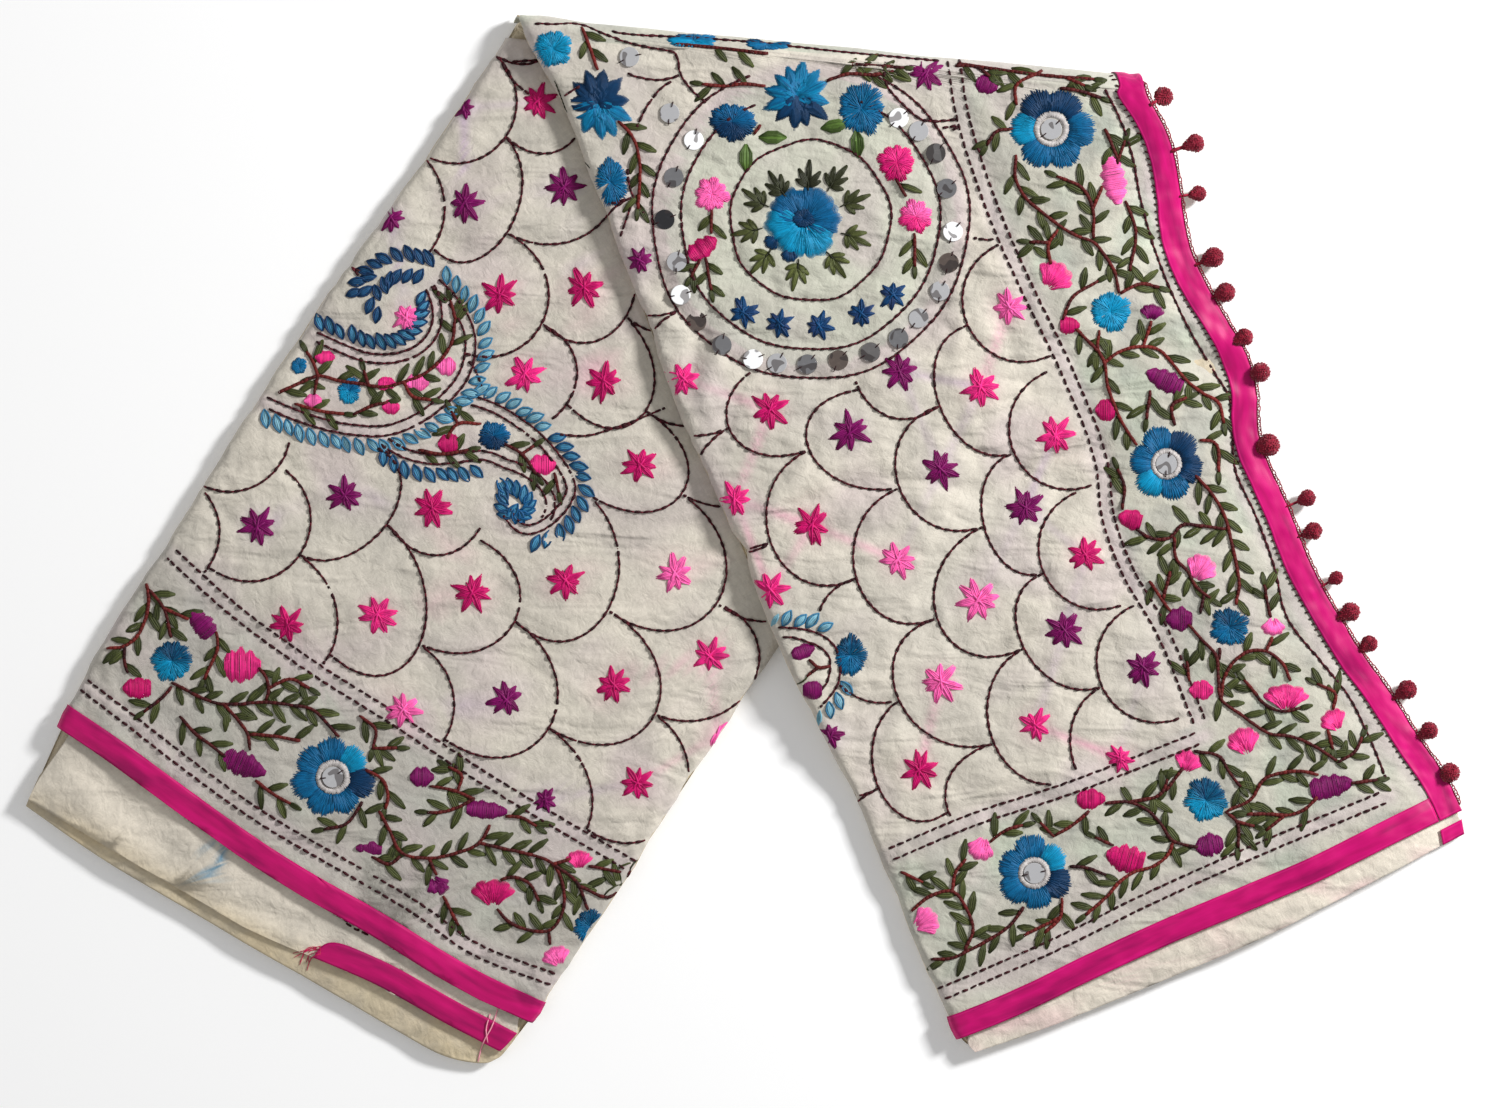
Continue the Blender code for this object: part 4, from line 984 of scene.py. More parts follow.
class ThreadWork:
    """Short lengths of thread, gathered and then made one mesh."""

    def __init__(self, name, sides=4):
        self.name = name
        self.sides = sides
        self.runs = {}

    def add(self, line, thread, colour, thickness=1.0):
        """Add one length along points in space."""
        count = len(line)
        widths = []
        for index in range(count):
            bow = max(math.sin(math.pi * index / (count - 1)), 0.0)
            share = thread.tips + (1 - thread.tips) * bow ** TIP_TAPER
            widths.append(thread.radius * thickness * share)
        shade = uniform(*SHADES)
        mixed = tuple(channel * shade for channel in colour)
        points = [tuple(point) for point in line]
        self.runs.setdefault(count, []).append((points, widths, thread.flatness, mixed))

    def lay(self, cloth, plan, thread, colour, thickness=1.0):
        """Lay one length on the cloth: its ends go in and its middle stands up."""
        line = []
        last = len(plan) - 1
        for index, (x, y) in enumerate(plan):
            level = cloth.height(x, y)
            if level is None:
                return
            bow = math.sin(math.pi * index / last)
            line.append((x, y, level + thread.rise * bow - thread.sink * (1 - bow)))
        heights = [point[2] for point in line]
        if max(heights) - min(heights) <= STEEPEST_THREAD:
            self.add(line, thread, colour, thickness)

    def make(self):
        """Sweep a small ring along every length at once, as one joined mesh."""
        points, faces, colours, uvs = [], [], [], []
        start = 0
        sides = self.sides
        angles = np.linspace(0, 2 * math.pi, sides, endpoint=False) + math.pi / sides
        for count, runs in self.runs.items():
            lines, widths, flatness, tints = (np.array(part, dtype=float) for part in zip(*runs))
            along = np.gradient(lines, axis=1)
            along /= np.linalg.norm(along, axis=2, keepdims=True) + TINY
            aside = np.cross(along, np.array([0.0, 0.0, 1.0]))
            length = np.linalg.norm(aside, axis=2, keepdims=True)
            aside = np.where(length > 0.05, aside / (length + TINY), np.array([1.0, 0.0, 0.0]))
            upward = np.cross(aside, along)
            ring = (
                aside[:, :, None, :] * np.cos(angles)[None, None, :, None]
                + upward[:, :, None, :] * np.sin(angles)[None, None, :, None]
                * flatness[:, None, None, None]
            )
            swept = lines[:, :, None, :] + ring * widths[:, :, None, None]
            total = len(runs) * count * sides
            points.append(swept.reshape(-1, 3))
            colours.append(np.repeat(tints, count * sides, axis=0))
            index = np.arange(total).reshape(len(runs), count, sides) + start
            following = np.roll(index, -1, axis=2)
            quads = (index[:, :-1], index[:, 1:], following[:, 1:], following[:, :-1])
            faces.append(np.stack(quads, axis=-1).reshape(-1, 4))
            reach = np.cumsum(np.linalg.norm(np.diff(lines, axis=1), axis=2), axis=1)
            reach = np.concatenate((np.zeros((len(runs), 1)), reach), axis=1)
            rows = np.broadcast_to(reach[:, :, None], index.shape)
            columns = np.broadcast_to(np.arange(sides) / sides, index.shape)
            corner_u = np.stack((columns[:, :-1], columns[:, 1:], columns[:, 1:] + 1 / sides,
                                 columns[:, :-1] + 1 / sides), axis=-1)
            corner_v = np.stack((rows[:, :-1], rows[:, 1:], rows[:, 1:], rows[:, :-1]), axis=-1)
            uvs.append(np.stack((corner_u, corner_v), axis=-1).reshape(-1, 2))
            for ring_index, order in ((0, 1), (count - 1, -1)):
                caps = index[:, ring_index, ::order].reshape(len(runs), sides)
                if sides == 4:
                    fans = [caps]
                else:
                    fans = [caps[:, [0, step, step + 1]] for step in range(1, sides - 1)]
                faces.append(np.concatenate(fans))
                uvs.append(np.zeros((faces[-1].size, 2)))
            start += total
        return self.joined(points, faces, colours, uvs)

    def joined(self, points, faces, colours, uvs):
        """The mesh of all the lengths, with their colours and their own coordinates."""
        mesh = bpy.data.meshes.new(self.name)
        all_points = np.concatenate(points)
        corners = np.concatenate([part.reshape(-1) for part in faces])
        sizes = np.concatenate([np.full(len(part), part.shape[1]) for part in faces])
        starts = np.concatenate(([0], np.cumsum(sizes)[:-1]))
        mesh.vertices.add(len(all_points))
        mesh.vertices.foreach_set("co", all_points.reshape(-1))
        mesh.loops.add(len(corners))
        mesh.loops.foreach_set("vertex_index", corners.astype(np.int32))
        mesh.polygons.add(len(sizes))
        mesh.polygons.foreach_set("loop_start", starts.astype(np.int32))
        mesh.update(calc_edges=True)
        mesh.validate()
        mesh.uv_layers.new(name="thread").data.foreach_set("uv", np.concatenate(uvs).reshape(-1))
        solid = np.concatenate(colours)
        solid = np.concatenate((solid, np.ones((len(solid), 1))), axis=1)
        store(mesh, "dye", "FLOAT_COLOR", "color", solid.reshape(-1))
        mesh.shade_smooth()
        return in_scene(self.name, mesh)


# Stitches and motifs.
SILK_SPACING = 0.52 * MM
LEAF_LANES = (-1.0, -0.36, 0.36, 1.0)
LEAF_LENGTHS = (11.5 * MM, 15.5 * MM)
LEAF_WIDTHS = (3.5 * MM, 4.5 * MM)
LEAF_LEANS = (30, 52)
STAR_ARMS = 8
STAR_LANES = 5
POINTED_LANES = 15
THICKNESSES = (0.85, 1.12)


def stitch_line(work, cloth, path, linked):
    """Running stitch along an even path whose points are a third of a stitch apart."""
    for index in range(random.randint(0, 2), len(path) - 1, 3):
        first, last = path[index], path[min(index + 3, len(path) - 1)]
        middle = (first + last) / 2
        reach = STITCH_LENGTH * uniform(0.82, 1.08) / 2
        reach = min(reach, (last - first).length * 0.46)
        run = (last - first).normalized()
        sway = turned(run, 90) * uniform(-0.25, 0.25) * MM
        end = middle + run * reach - sway
        thickness = uniform(*THICKNESSES) * (1.0 if linked else 0.92)
        tone = varied(MAROON_BLACK, MAROON, uniform(0.0, 0.35))
        work.lay(cloth, between(middle - run * reach + sway, end, 4), RUNNING, tone, thickness)
        if linked and index + 6 < len(path):
            ahead = (path[index + 6] - last).normalized()
            start = last + ahead * (STITCH_PITCH - STITCH_LENGTH) * 0.6
            lap = run * 0.5 * MM
            work.lay(cloth, between(end - lap, start + lap, 3), LINKING, MAROON)


def leaf(work, cloth, base, direction, length, width, colour):
    """A leaf of four long threads that part in its middle and meet at its tip."""
    tip = base + direction * length
    aside = turned(direction, 90)
    for lean in LEAF_LANES:
        bow = lean * 0.5 * (width - 1.2 * MM) / length
        tone = varied(colour, DARK_LEAF, uniform(0.2, 0.7) if abs(lean) > 0.5 else 0.1)
        start = base + aside * lean * 0.45 * MM
        end = tip + aside * lean * 0.5 * MM - direction * abs(lean) * 0.7 * MM
        work.lay(cloth, between(start, end, 4, bow), LEAF_SILK, tone)


def stem(work, cloth, path, thread=VINE, dark=MAROON_BLACK, light=STEM_BROWN):
    """Stem stitch: short threads that overlap along a path."""
    red = uniform(0.0, 0.7)
    for first, last in zip(path, path[1:]):
        run = last - first
        slant = turned(run.normalized(), 90) * 0.3 * MM
        plan = between(first - run * 0.35 - slant, last + run * 0.35 + slant, 3)
        tone = varied(light, dark, min(red + uniform(-0.1, 0.3), 1.0))
        work.lay(cloth, plan, thread, tone, uniform(*THICKNESSES))


def star(work, cloth, x, y, colour, radius):
    """An eight-armed star, each arm a full blunt sheaf of threads that cross in the middle."""
    centre = place(x, y)
    turn = uniform(0, 45)
    reach = radius * PIXEL * 1.2
    for arm in range(STAR_ARMS):
        direction = facing(turn + 45 * arm + uniform(-12, 12))
        aside = turned(direction, 90)
        length = reach * uniform(0.78, 1.12)
        tone = varied(colour, MAROON, uniform(0.0, 0.15))
        for lane in range(STAR_LANES):
            lean = (lane - 2) / 2
            start = centre - direction * 0.2 * reach + aside * lean * 0.9 * MM
            tip = centre + direction * length * (1 - 0.14 * abs(lean) * uniform(0.0, 1.8))
            tip += aside * lean * 0.08 * reach
            plan = between(start, tip, 4, lean * 0.08 * reach / length)
            work.lay(cloth, plan, STAR_SIDE if lean else STAR_MIDDLE, tone)
    for cross in (turn + 20, turn + 65, turn + 110):
        direction = facing(cross + uniform(-15, 15))
        shift = turned(direction, 90) * uniform(-0.8, 0.8) * MM
        half = 0.55 * reach
        plan = between(centre + shift - direction * half, centre + shift + direction * half, 4)
        work.lay(cloth, plan, STAR_CROSS, colour)


def ring_flower(work, ring_work, cloth, x, y, radius, turn, tones):
    """A flower of satin stitch round a pale worked ring, left open for its mirror."""
    centre = place(x, y)
    reach = radius * PIXEL
    inner = 0.39 * reach
    count = int(2 * math.pi * reach * 0.8 / SILK_SPACING)
    petals = len(tones)
    sizes = [uniform(0.94, 1.04) for _ in tones]
    for index in range(count):
        angle = 2 * math.pi * (index + uniform(-0.3, 0.3)) / count
        share = ((angle - math.radians(turn)) * petals / (2 * math.pi)) % petals
        petal = int(share)
        across = 2 * (share - petal) - 1
        lobe = math.sqrt(max(1 - across * across, 0.0)) ** 0.7
        outer = reach * (0.66 + 0.35 * lobe) * sizes[petal] * uniform(0.94, 1.03)
        direction = heading(angle)
        lean = turned(direction, 2 * across)
        tone = varied(tones[petal], NAVY, 0.4 * abs(across) ** 6)
        tone = varied(tone, CYAN, uniform(0.0, 0.15) * (tones[petal] is BLUE))
        start = centre + direction * inner * uniform(0.94, 1.04)
        end = centre + direction * inner + lean * (outer - inner)
        work.lay(cloth, between(start, end, 5), RING_PETAL, tone)
    rays = int(2 * math.pi * inner / (0.62 * MM))
    for index in range(rays):
        direction = heading(2 * math.pi * index / rays)
        out = inner * uniform(1.03, 1.12)
        plan = between(centre + direction * inner * 0.66, centre + direction * out, 4)
        ring_work.lay(cloth, plan, PALE_RING, varied(CREAM, BORDER_GREY, 0.3))


def round_flower(work, cloth, x, y, radius, squash, petals, depth, first, second):
    """A flower of threads that run from its middle out to lobed petals."""
    centre = place(x, y)
    reach = radius * PIXEL
    count = max(int(2 * math.pi * reach * 0.9 / (0.55 * MM)), 24)
    phase = uniform(0, 6)
    sizes = [uniform(0.86, 1.06) for _ in range(petals)]
    for index in range(count):
        angle = 2 * math.pi * (index + uniform(-0.3, 0.3)) / count
        share = ((angle + phase) * petals / (2 * math.pi)) % petals
        lobe = abs(math.sin(share * math.pi)) ** 0.5
        outer = reach * (1 - depth + depth * lobe) * sizes[int(share)] * uniform(0.95, 1.05)
        direction = Vector((math.cos(angle), math.sin(angle) * squash))
        upper = min(max(0.5 + 0.9 * math.sin(angle + 0.3), 0.0), 1.0)
        tone = varied(first, second, upper)
        tone = varied(tone, CYAN if first in (BLUE, CYAN) else tone, uniform(0.0, 0.3))
        inner = reach * (-0.12, 0.3, 0.1, 0.45)[index % 4]
        plan = between(centre + direction * inner, centre + direction * outer, 4,
                       uniform(-0.03, 0.03))
        work.lay(cloth, plan, ROUND_PETAL, tone)


def pointed_flower(work, cloth, x, y, radius, petals, turn, upper, lower):
    """A flower of long pointed petals, each a full sheaf of threads."""
    centre = place(x, y)
    reach = radius * PIXEL
    width = 2 * math.pi * reach / petals * 0.8
    for petal in range(petals):
        angle = math.radians(turn + 360 * petal / petals + uniform(-6, 6))
        direction = heading(angle)
        aside = turned(direction, 90)
        length = reach * uniform(0.84, 1.06)
        tone = upper if math.sin(angle) > -0.35 else lower
        for lane in range(POINTED_LANES):
            lean = (lane - 7) / 7
            start = centre - direction * reach * 0.08 + aside * lean * 1.2 * MM
            tip = centre + direction * length * (1 - 0.36 * abs(lean) ** 1.4)
            tip += aside * lean * width * 0.42
            streak = varied(tone, CYAN, uniform(0.0, 0.8) * (tone is BLUE))
            plan = between(start, tip, 5, lean * width * 0.1 / length)
            work.lay(cloth, plan, POINTED_PETAL, streak)


def fan_flower(work, cloth, x, y, half_width, half_height, turn, colour):
    """A side-on flower: threads that fan out from its foot to a scalloped edge."""
    centre = place(x, y)
    forward = facing(90 - turn)
    aside = turned(forward, -90)
    wide = half_width * PIXEL
    tall = half_height * PIXEL
    foot = centre - forward * tall
    count = int(2.6 * wide / (0.6 * MM))
    for index in range(count + 1):
        lean = 2 * index / count - 1
        angle = lean * math.radians(102)
        scallop = 0.86 + 0.14 * abs(math.sin((lean + 1) * math.pi * 2.5))
        out = Vector((math.sin(angle), math.cos(angle)))
        top = centre + aside * out.x * wide * scallop + forward * out.y * tall * scallop
        start = foot.lerp(top, uniform(0.03, 0.25)) + aside * lean * wide * 0.12
        tone = varied(colour, LIGHT_PINK, uniform(0.0, 0.3) * (colour is PINK))
        work.lay(cloth, between(start, top, 4, lean * 0.1), FAN_PETAL, tone)


def bud(work, cloth, x, y, half_width, half_height, turn, colour, frill):
    """A small filled form of straight satin stitch, most with a frilled edge."""
    centre = place(x, y)
    forward = facing(-turn)
    aside = turned(forward, 90)
    wide = half_width * PIXEL * 1.05
    tall = half_height * PIXEL * 1.05
    count = max(int(2 * wide / SILK_SPACING), 8)
    waves = max(half_width / 5.0, 2.0)
    nudge = uniform(-0.25, 0.25)
    deep = 0.12 + frill
    for index in range(count + 1):
        lean = 2 * index / count - 1
        shift = min(abs(lean - nudge) / (1 + abs(nudge)), 1.0)
        reach = tall * (1 - 0.72 * shift ** 2.2) * uniform(0.94, 1.05)
        wave = abs(math.sin((lean + 1) * math.pi * waves / 2))
        top = reach * (1 - deep + deep * wave)
        low = reach * (1 - 0.7 * deep * (1 - wave))
        middle = centre + forward * lean * wide
        plan = between(middle - aside * low, middle + aside * top, 4, uniform(-0.02, 0.02))
        work.lay(cloth, plan, BUD_SILK, varied(colour, MAROON, 0.12 * (1 - wave)))


def sprig(stems_work, leaf_work, cloth, x, y, angle):
    """Five slim leaves that spread from the foot of a short stem."""
    direction = facing(angle)
    base = place(x, y) - direction * 2.5 * MM
    stem(stems_work, cloth, even_path([base, base + direction * 6 * MM], STEM_PITCH), SPRIG_STEM,
         DARK_LEAF, DARK_LEAF)
    tone = varied(DARK_LEAF, LIGHT_LEAF, 0.45 - 0.45 * direction.y)
    for lean, length in SPRIG_LEAVES:
        foot = base + direction * (2.5 if lean else 4.0) * MM
        leaf(leaf_work, cloth, foot, turned(direction, lean + uniform(-7, 7)), length, 3.0 * MM,
             tone)


def looped_leaves(work, cloth, side, pitch, dark, light, line):
    """A row of looped blue leaves that stand out from a paisley's line."""
    path = drawn(line, pitch * MM)
    for index in range(len(path) - 1):
        run = (path[index + 1] - path[index]).normalized()
        direction = turned(run, -side * uniform(46, 62))
        base = path[index] + direction * 0.6 * MM
        tip = base + direction * uniform(10.2, 12.2) * MM
        for lean in (-1.0, 1.0):
            tone = varied(dark, NAVY, uniform(0, 0.3))
            work.lay(cloth, between(base, tip, 5, lean * 0.23), LOOP_SIDE, tone)
        for lean in (-0.5, 0.0, 0.5):
            plan = between(base + direction * 0.8 * MM, tip - direction * 0.9 * MM, 4, lean * 0.26)
            work.lay(cloth, plan, LOOP_FILLING, light)


def leafy_stem(stems_work, leaf_work, cloth, points, blooms, size=1.0):
    """A stem with leaves to both sides, clear of the flowers."""
    path = drawn(points, STEM_PITCH)
    if len(path) < 3:
        return
    stem(stems_work, cloth, path)
    side = random.choice((1, -1))
    index = 1
    while index < len(path) - 1:
        run = (path[index + 1] - path[index]).normalized()
        direction = turned(run, side * uniform(*LEAF_LEANS))
        length = uniform(*LEAF_LENGTHS) * size
        tip = path[index] + direction * length
        middle = path[index] + direction * length * 0.6
        if all(min((tip - bloom).length, (middle - bloom).length) > room
               for bloom, room in blooms):
            colour = varied(LEAF, LIGHT_LEAF, uniform(0, 0.5))
            width = uniform(*LEAF_WIDTHS) * size
            base = path[index] + direction * 0.5 * MM
            leaf(leaf_work, cloth, base, direction, length, width, colour)
        side = -side
        index += 2 if random.random() < 0.62 else 3
    run = (path[-1] - path[-2]).normalized()
    if all((path[-1] + run * 6 * MM - bloom).length > room for bloom, room in blooms):
        leaf(leaf_work, cloth, path[-1], run, 9 * MM * size, 2.9 * MM * size, LEAF)


def bloom_places(rounds, ovals):
    """Where the flowers are, and how far round them a leaf keeps clear."""
    blooms = [(place(row[0], row[1]), row[2] * PIXEL) for row in rounds]
    return blooms + [(place(row[0], row[1]), 0.85 * max(row[2], row[3]) * PIXEL) for row in ovals]


def embroider(right, left, second):
    """Work every motif of both legs, and return the pieces of thread work."""
    running, stars, blues, pinks, leaves, stems, loops = works = [
        ThreadWork(name) for name in (
            "running_stitch", "star_stitch", "blue_flowers", "pink_flowers", "leaf_stitch",
            "stem_stitch", "paisley_leaves",
        )
    ]

    def each(right_rows, left_rows=()):
        """Every row of a motif with the cloth that it is worked on."""
        return [(right, row) for row in right_rows] + [(left, row) for row in left_rows]

    for cloth, (path, linked) in each(LINES["right"], LINES["left"]):
        stitch_line(running, cloth, path, linked)
    stitch_line(running, second, drawn(SECOND_LAYER_LINE), False)
    small_stars = [(x, y, STAR_NAVY, 13) for x, y in MEDALLION_STARS]
    for cloth, row in each(RIGHT_STARS, LEFT_STARS) + each(small_stars):
        star(stars, cloth, *row)
    for cloth, row in each(RIGHT_RING_FLOWERS, LEFT_RING_FLOWERS):
        ring_flower(blues, pinks, cloth, *row)
    for cloth, row in each(RIGHT_ROUND_FLOWERS, LEFT_ROUND_FLOWERS):
        pink = row[6] in (LIGHT_PINK, PINK, MAGENTA)
        round_flower(pinks if pink else blues, cloth, *row)
    for row in POINTED_FLOWERS:
        pointed_flower(blues, right, *row)
    for row in MIDDLE_PETALS:
        fan_flower(blues, right, *row)
    round_flower(blues, right, *FLOWER_MIDDLE)
    for cloth, row in each(RIGHT_FAN_FLOWERS, LEFT_FAN_FLOWERS):
        fan_flower(pinks, cloth, *row)
    for cloth, row in each(RIGHT_BUDS, LEFT_BUDS):
        bud(pinks, cloth, *row)
    for cloth, row in each((), PAISLEY_LEAVES) + each(SMALL_PAISLEY_LEAVES):
        looped_leaves(loops, cloth, *row)

    right_blooms = bloom_places(RIGHT_RING_FLOWERS + RIGHT_ROUND_FLOWERS + POINTED_FLOWERS,
                                RIGHT_FAN_FLOWERS + RIGHT_BUDS)
    left_blooms = bloom_places(LEFT_RING_FLOWERS + LEFT_ROUND_FLOWERS,
                               LEFT_FAN_FLOWERS + LEFT_BUDS)
    for points in RIGHT_STEMS:
        leafy_stem(stems, leaves, right, points, right_blooms)
    for points in LEFT_STEMS:
        leafy_stem(stems, leaves, left, points, left_blooms)
    for points in MEDALLION_STEMS:
        leafy_stem(stems, leaves, right, points, right_blooms, 0.95)
    for row in SPRIGS:
        sprig(stems, leaves, right, *row)
    for x, y, angle in BROAD_LEAVES:
        direction = facing(angle)
        base = place(x, y) - direction * 8.5 * MM
        for layer in range(3):
            width = (3.5 + 2.4 * layer) * MM
            leaf(leaves, right, base, direction, 17 * MM, width, BROAD_LEAF)
    stem(stems, right, drawn(TURN_LINE, STEM_PITCH), FINE_LINE, DARK_LEAF, DARK_LEAF)
    return [work.make() for work in works]


# Mirrors.
MIRROR_STITCH = ((1.22, 0.1), (1.02, 1.25), (0.8, 1.35), (0.62, 1.1))


def add_mirror(discs, work, cloth, centre, radius, loose):
    """A thin glass disc that lies slightly tilted, held by two black stitches."""
    level = cloth.height(centre.x, centre.y)
    if level is None:
        return
    tilt = Matrix.Rotation(math.radians(uniform(-loose, loose)), 4, "X")
    tilt @= Matrix.Rotation(math.radians(uniform(-loose, loose)), 4, "Y")
    rise = Vector((centre.x, centre.y, level + 0.75 * MM))
    made = bmesh.ops.create_cone(
        discs, cap_ends=True, segments=28, radius1=radius, radius2=radius * 0.96,
        depth=0.5 * MM, matrix=Matrix.Translation(rise) @ tilt,
    )
    fresh = set(made["verts"])
    rim = [edge for edge in discs.edges if edge.verts[0] in fresh
           and any(len(face.verts) > 4 for face in edge.link_faces)]
    bmesh.ops.bevel(discs, geom=rim, offset=0.1 * MM, offset_type="OFFSET", affect="EDGES",
                    segments=2, profile=0.5, material=-1)
    turn = uniform(10, 80)
    for side in (turn, turn + uniform(150, 210)):
        direction = facing(side)
        line = []
        for share, lift in MIRROR_STITCH:
            spot = centre + direction * radius * share
            line.append((spot.x, spot.y, level + lift * MM))
        work.add(line, MIRROR_HOLDER, MAROON_BLACK)


def make_mirrors(right, left):
    """Every mirror, with the painted reflection that its glass shows, and the stitches that hold
    them.
    """
    discs = bmesh.new()
    work = ThreadWork("mirror_stitch")
    rows = [(right, x, y, tone, MIRROR_RADIUS, 4.0) for x, y, tone in RING_MIRRORS]
    for cloth, flowers in ((right, RIGHT_RING_FLOWERS), (left, LEFT_RING_FLOWERS)):
        rows += [(cloth, row[0], row[1], "light", RING_MIRROR_RADIUS, 2.0) for row in flowers]
    for cloth, x, y, tone, radius, loose in rows:
        add_mirror(discs, work, cloth, place(x, y), radius, loose)
    mirrors = from_bmesh("mirrors", discs, smooth=False)
    tree = tree_of([place(row[1], row[2]) for row in rows])
    # Each point of a mirror keeps its mirror's painted reflection, under the name glass.
    values = []
    for vert in mirrors.data.vertices:
        values.extend(PAINTED_MIRROR_REFLECTIONS[rows[tree.find(on_floor(vert.co))[1]][3]])
    store(mirrors.data, "glass", "FLOAT_COLOR", "color", values)
    return mirrors, work.make()


# Colours painted on the cloth.
def paint(made, colour_of):
    """Store a colour for each point of a mesh."""
    values = []
    for vert in made.data.vertices:
        values.extend((*colour_of(vert.co), 1.0))
    store(made.data, "tint", "FLOAT_COLOR", "color", values)


def patches(point, size, shift=(0, 0, 0)):
    """Broad soft patches of a size, from less than nothing to one."""
    return noise.noise(on_floor(point) / size + Vector(shift))


def bleed_lines(stars):
    """Soft lines between neighbouring stars, where their dye has run."""
    lines = []
    for index, first in enumerate(stars):
        for second in stars[index + 1:]:
            start = place(first[0], first[1])
            end = place(second[0], second[1])
            if (end - start).length < 64 * MM and random.random() < 0.6:
                colour = BLEED_VIOLET if PURPLE in (first[2], second[2]) else BLEED_PINK
                lines.append((start, end, colour, uniform(0.25, 0.8)))
    return lines


def nearness(point, start, end, width):
    """One on a line from start to end, falling to nothing away from it."""
    run = end - start
    share = min(max((point - start).dot(run) / run.length_squared, 0.0), 1.0)
    return bell((point - start - run * share).length, width)


def leg_colour(leg, stars, borders, field):
    """The painted colour of a leg's face, as a function of the place."""
    pairs = [(DOUBLE_STEP, points) for points in borders]
    if leg == "left":
        pairs += LEFT_PAISLEY_PAIRS
    doubles = line_tree([beside(drawn(points, 3 * MM), step / 2 * PIXEL)
                         for step, points in pairs])
    bleeds = bleed_lines(stars)
    outline = places(field)
    ring = place(*MEDALLION)
    ring_reach = sum(MEDALLION_RINGS) / 2 * PIXEL
    hem = line_tree([drawn(END_RIBBON_INNER, 3 * MM)])
    centres = [(place(row[0], row[1]), row[2]) for row in stars]

    def colour(point):
        flat = Vector((point.x, point.y))
        spot = on_floor(point)
        tint = varied(BASE_CREAM, BORDER_GREY, 0.05 + 0.3 * (0.5 + 0.5 * patches(point, 0.03)))
        if not inside(flat, outline):
            tint = varied(tint, BORDER_GREY, 0.75)
            green = max(patches(point, 0.028, (1, 8, 2)), 0.0)
            tint = varied(tint, GREEN_TINT, min(green * 1.8, 0.8))
            grey = max(patches(point, 0.02, (4, 1, 6)), 0.0)
            tint = varied(tint, BORDER_SHADE, min(grey * 1.5, 0.6))
            if leg == "left":
                tint = varied(tint, BODY_BORDER, 0.5)
        tint = varied(tint, LAVENDER, 0.8 * bell(doubles.find(spot)[2], 6 * MM))
        if leg == "right":
            off_ring = abs((flat - ring).length - ring_reach)
            tint = varied(tint, LAVENDER, 0.8 * math.exp(-(off_ring / (9 * MM)) ** 4))
            if (flat - ring).length < ring_reach:
                tint = varied(tint, GREEN_TINT, 0.5)
            tint = varied(tint, HEM_TINT, 0.75 * bell(hem.find(spot)[2], 5 * MM))
        for centre, shade in centres:
            reach = (flat - centre).length
            if reach < 30 * MM:
                stain = BLEED_VIOLET if shade is PURPLE else BLEED_PINK
                tint = varied(tint, stain, 0.5 * bell(reach, 9 * MM))
        for start, end, stain, strength in bleeds:
            if (flat - start).length_squared < 0.006:
                share = strength * nearness(flat, start, end, 2.6 * MM)
                tint = varied(tint, stain, share)
        violet = max(patches(point, 0.045, (7, 3, 1)) - 0.12, 0.0)
        return varied(tint, LAVENDER, min(violet * 1.8, 0.6))

    return colour


def second_layer_colour(point):
    """The plain layer under the body: ivory that yellows to its edge, with one blue stain."""
    flat = Vector((point.x, point.y))
    edge = nearness(flat, *places(SECOND_LAYER_EDGE), 15 * MM)
    tint = varied(IVORY, YELLOWED_IVORY, 0.9 * edge)
    for start, end, strength in STAIN_LINES:
        share = strength * nearness(flat, place(*start), place(*end), 2.1 * MM)
        tint = varied(tint, STAIN_BLUE, share)
    return tint


def third_layer_colour(point):
    """The lowest layer that shows on the body, yellower and a little soiled."""
    return varied(SOILED_CREAM, SHADE_BEIGE, 0.5 + 0.5 * patches(point, 0.03))


def end_layer_colour(point):
    """The layer under the end piece: ivory, with faint pink where the dye has run."""
    patch = max(noise.noise(Vector((point.x, point.y, 4.0)) / 0.025), 0.0)
    return varied(IVORY, BLEED_PINK, min(patch * 0.9, 0.5))


# Finishes.
def add_node(tree, kind, inputs=None, **settings):
    """Add a shader node, with its settings, and its inputs linked or set."""
    made = tree.nodes.new(kind)
    for name, value in settings.items():
        setattr(made, name, value)
    for name, value in (inputs or {}).items():
        if isinstance(value, bpy.types.NodeSocket):
            tree.links.new(value, made.inputs[name])
        elif isinstance(value, tuple) and made.inputs[name].type == "RGBA":
            made.inputs[name].default_value = (*value, 1.0)
        else:
            made.inputs[name].default_value = value
    return made


def mixed_colour(tree, share, first, second, mode="MIX"):
    inputs = {0: share, 6: first, 7: second}
    return add_node(tree, "ShaderNodeMix", inputs, data_type="RGBA", blend_type=mode).outputs[2]


def figure(tree, operation, first, second=0.0):
    return add_node(tree, "ShaderNodeMath", {0: first, 1: second}, operation=operation).outputs[0]


def object_places(tree):
    return add_node(tree, "ShaderNodeTexCoord").outputs["Object"]


def stored(tree, name, output="Color"):
    """A value stored on the mesh under a name."""
    return add_node(tree, "ShaderNodeAttribute", attribute_name=name).outputs[output]


def mapped(tree, vector, scale=(1.0, 1.0, 1.0), turn=0.0):
    """Coordinates stretched and turned."""
    return add_node(tree, "ShaderNodeMapping", {
        "Vector": vector, "Scale": scale, "Rotation": (0.0, 0.0, math.radians(turn)),
    }).outputs["Vector"]


def cloudy(tree, vector, scale, detail=2.0, roughness=0.5, distortion=0.0):
    """Soft noise of a size."""
    return add_node(tree, "ShaderNodeTexNoise", {
        "Vector": vector, "Scale": scale, "Detail": detail, "Roughness": roughness,
        "Distortion": distortion,
    }).outputs["Fac"]


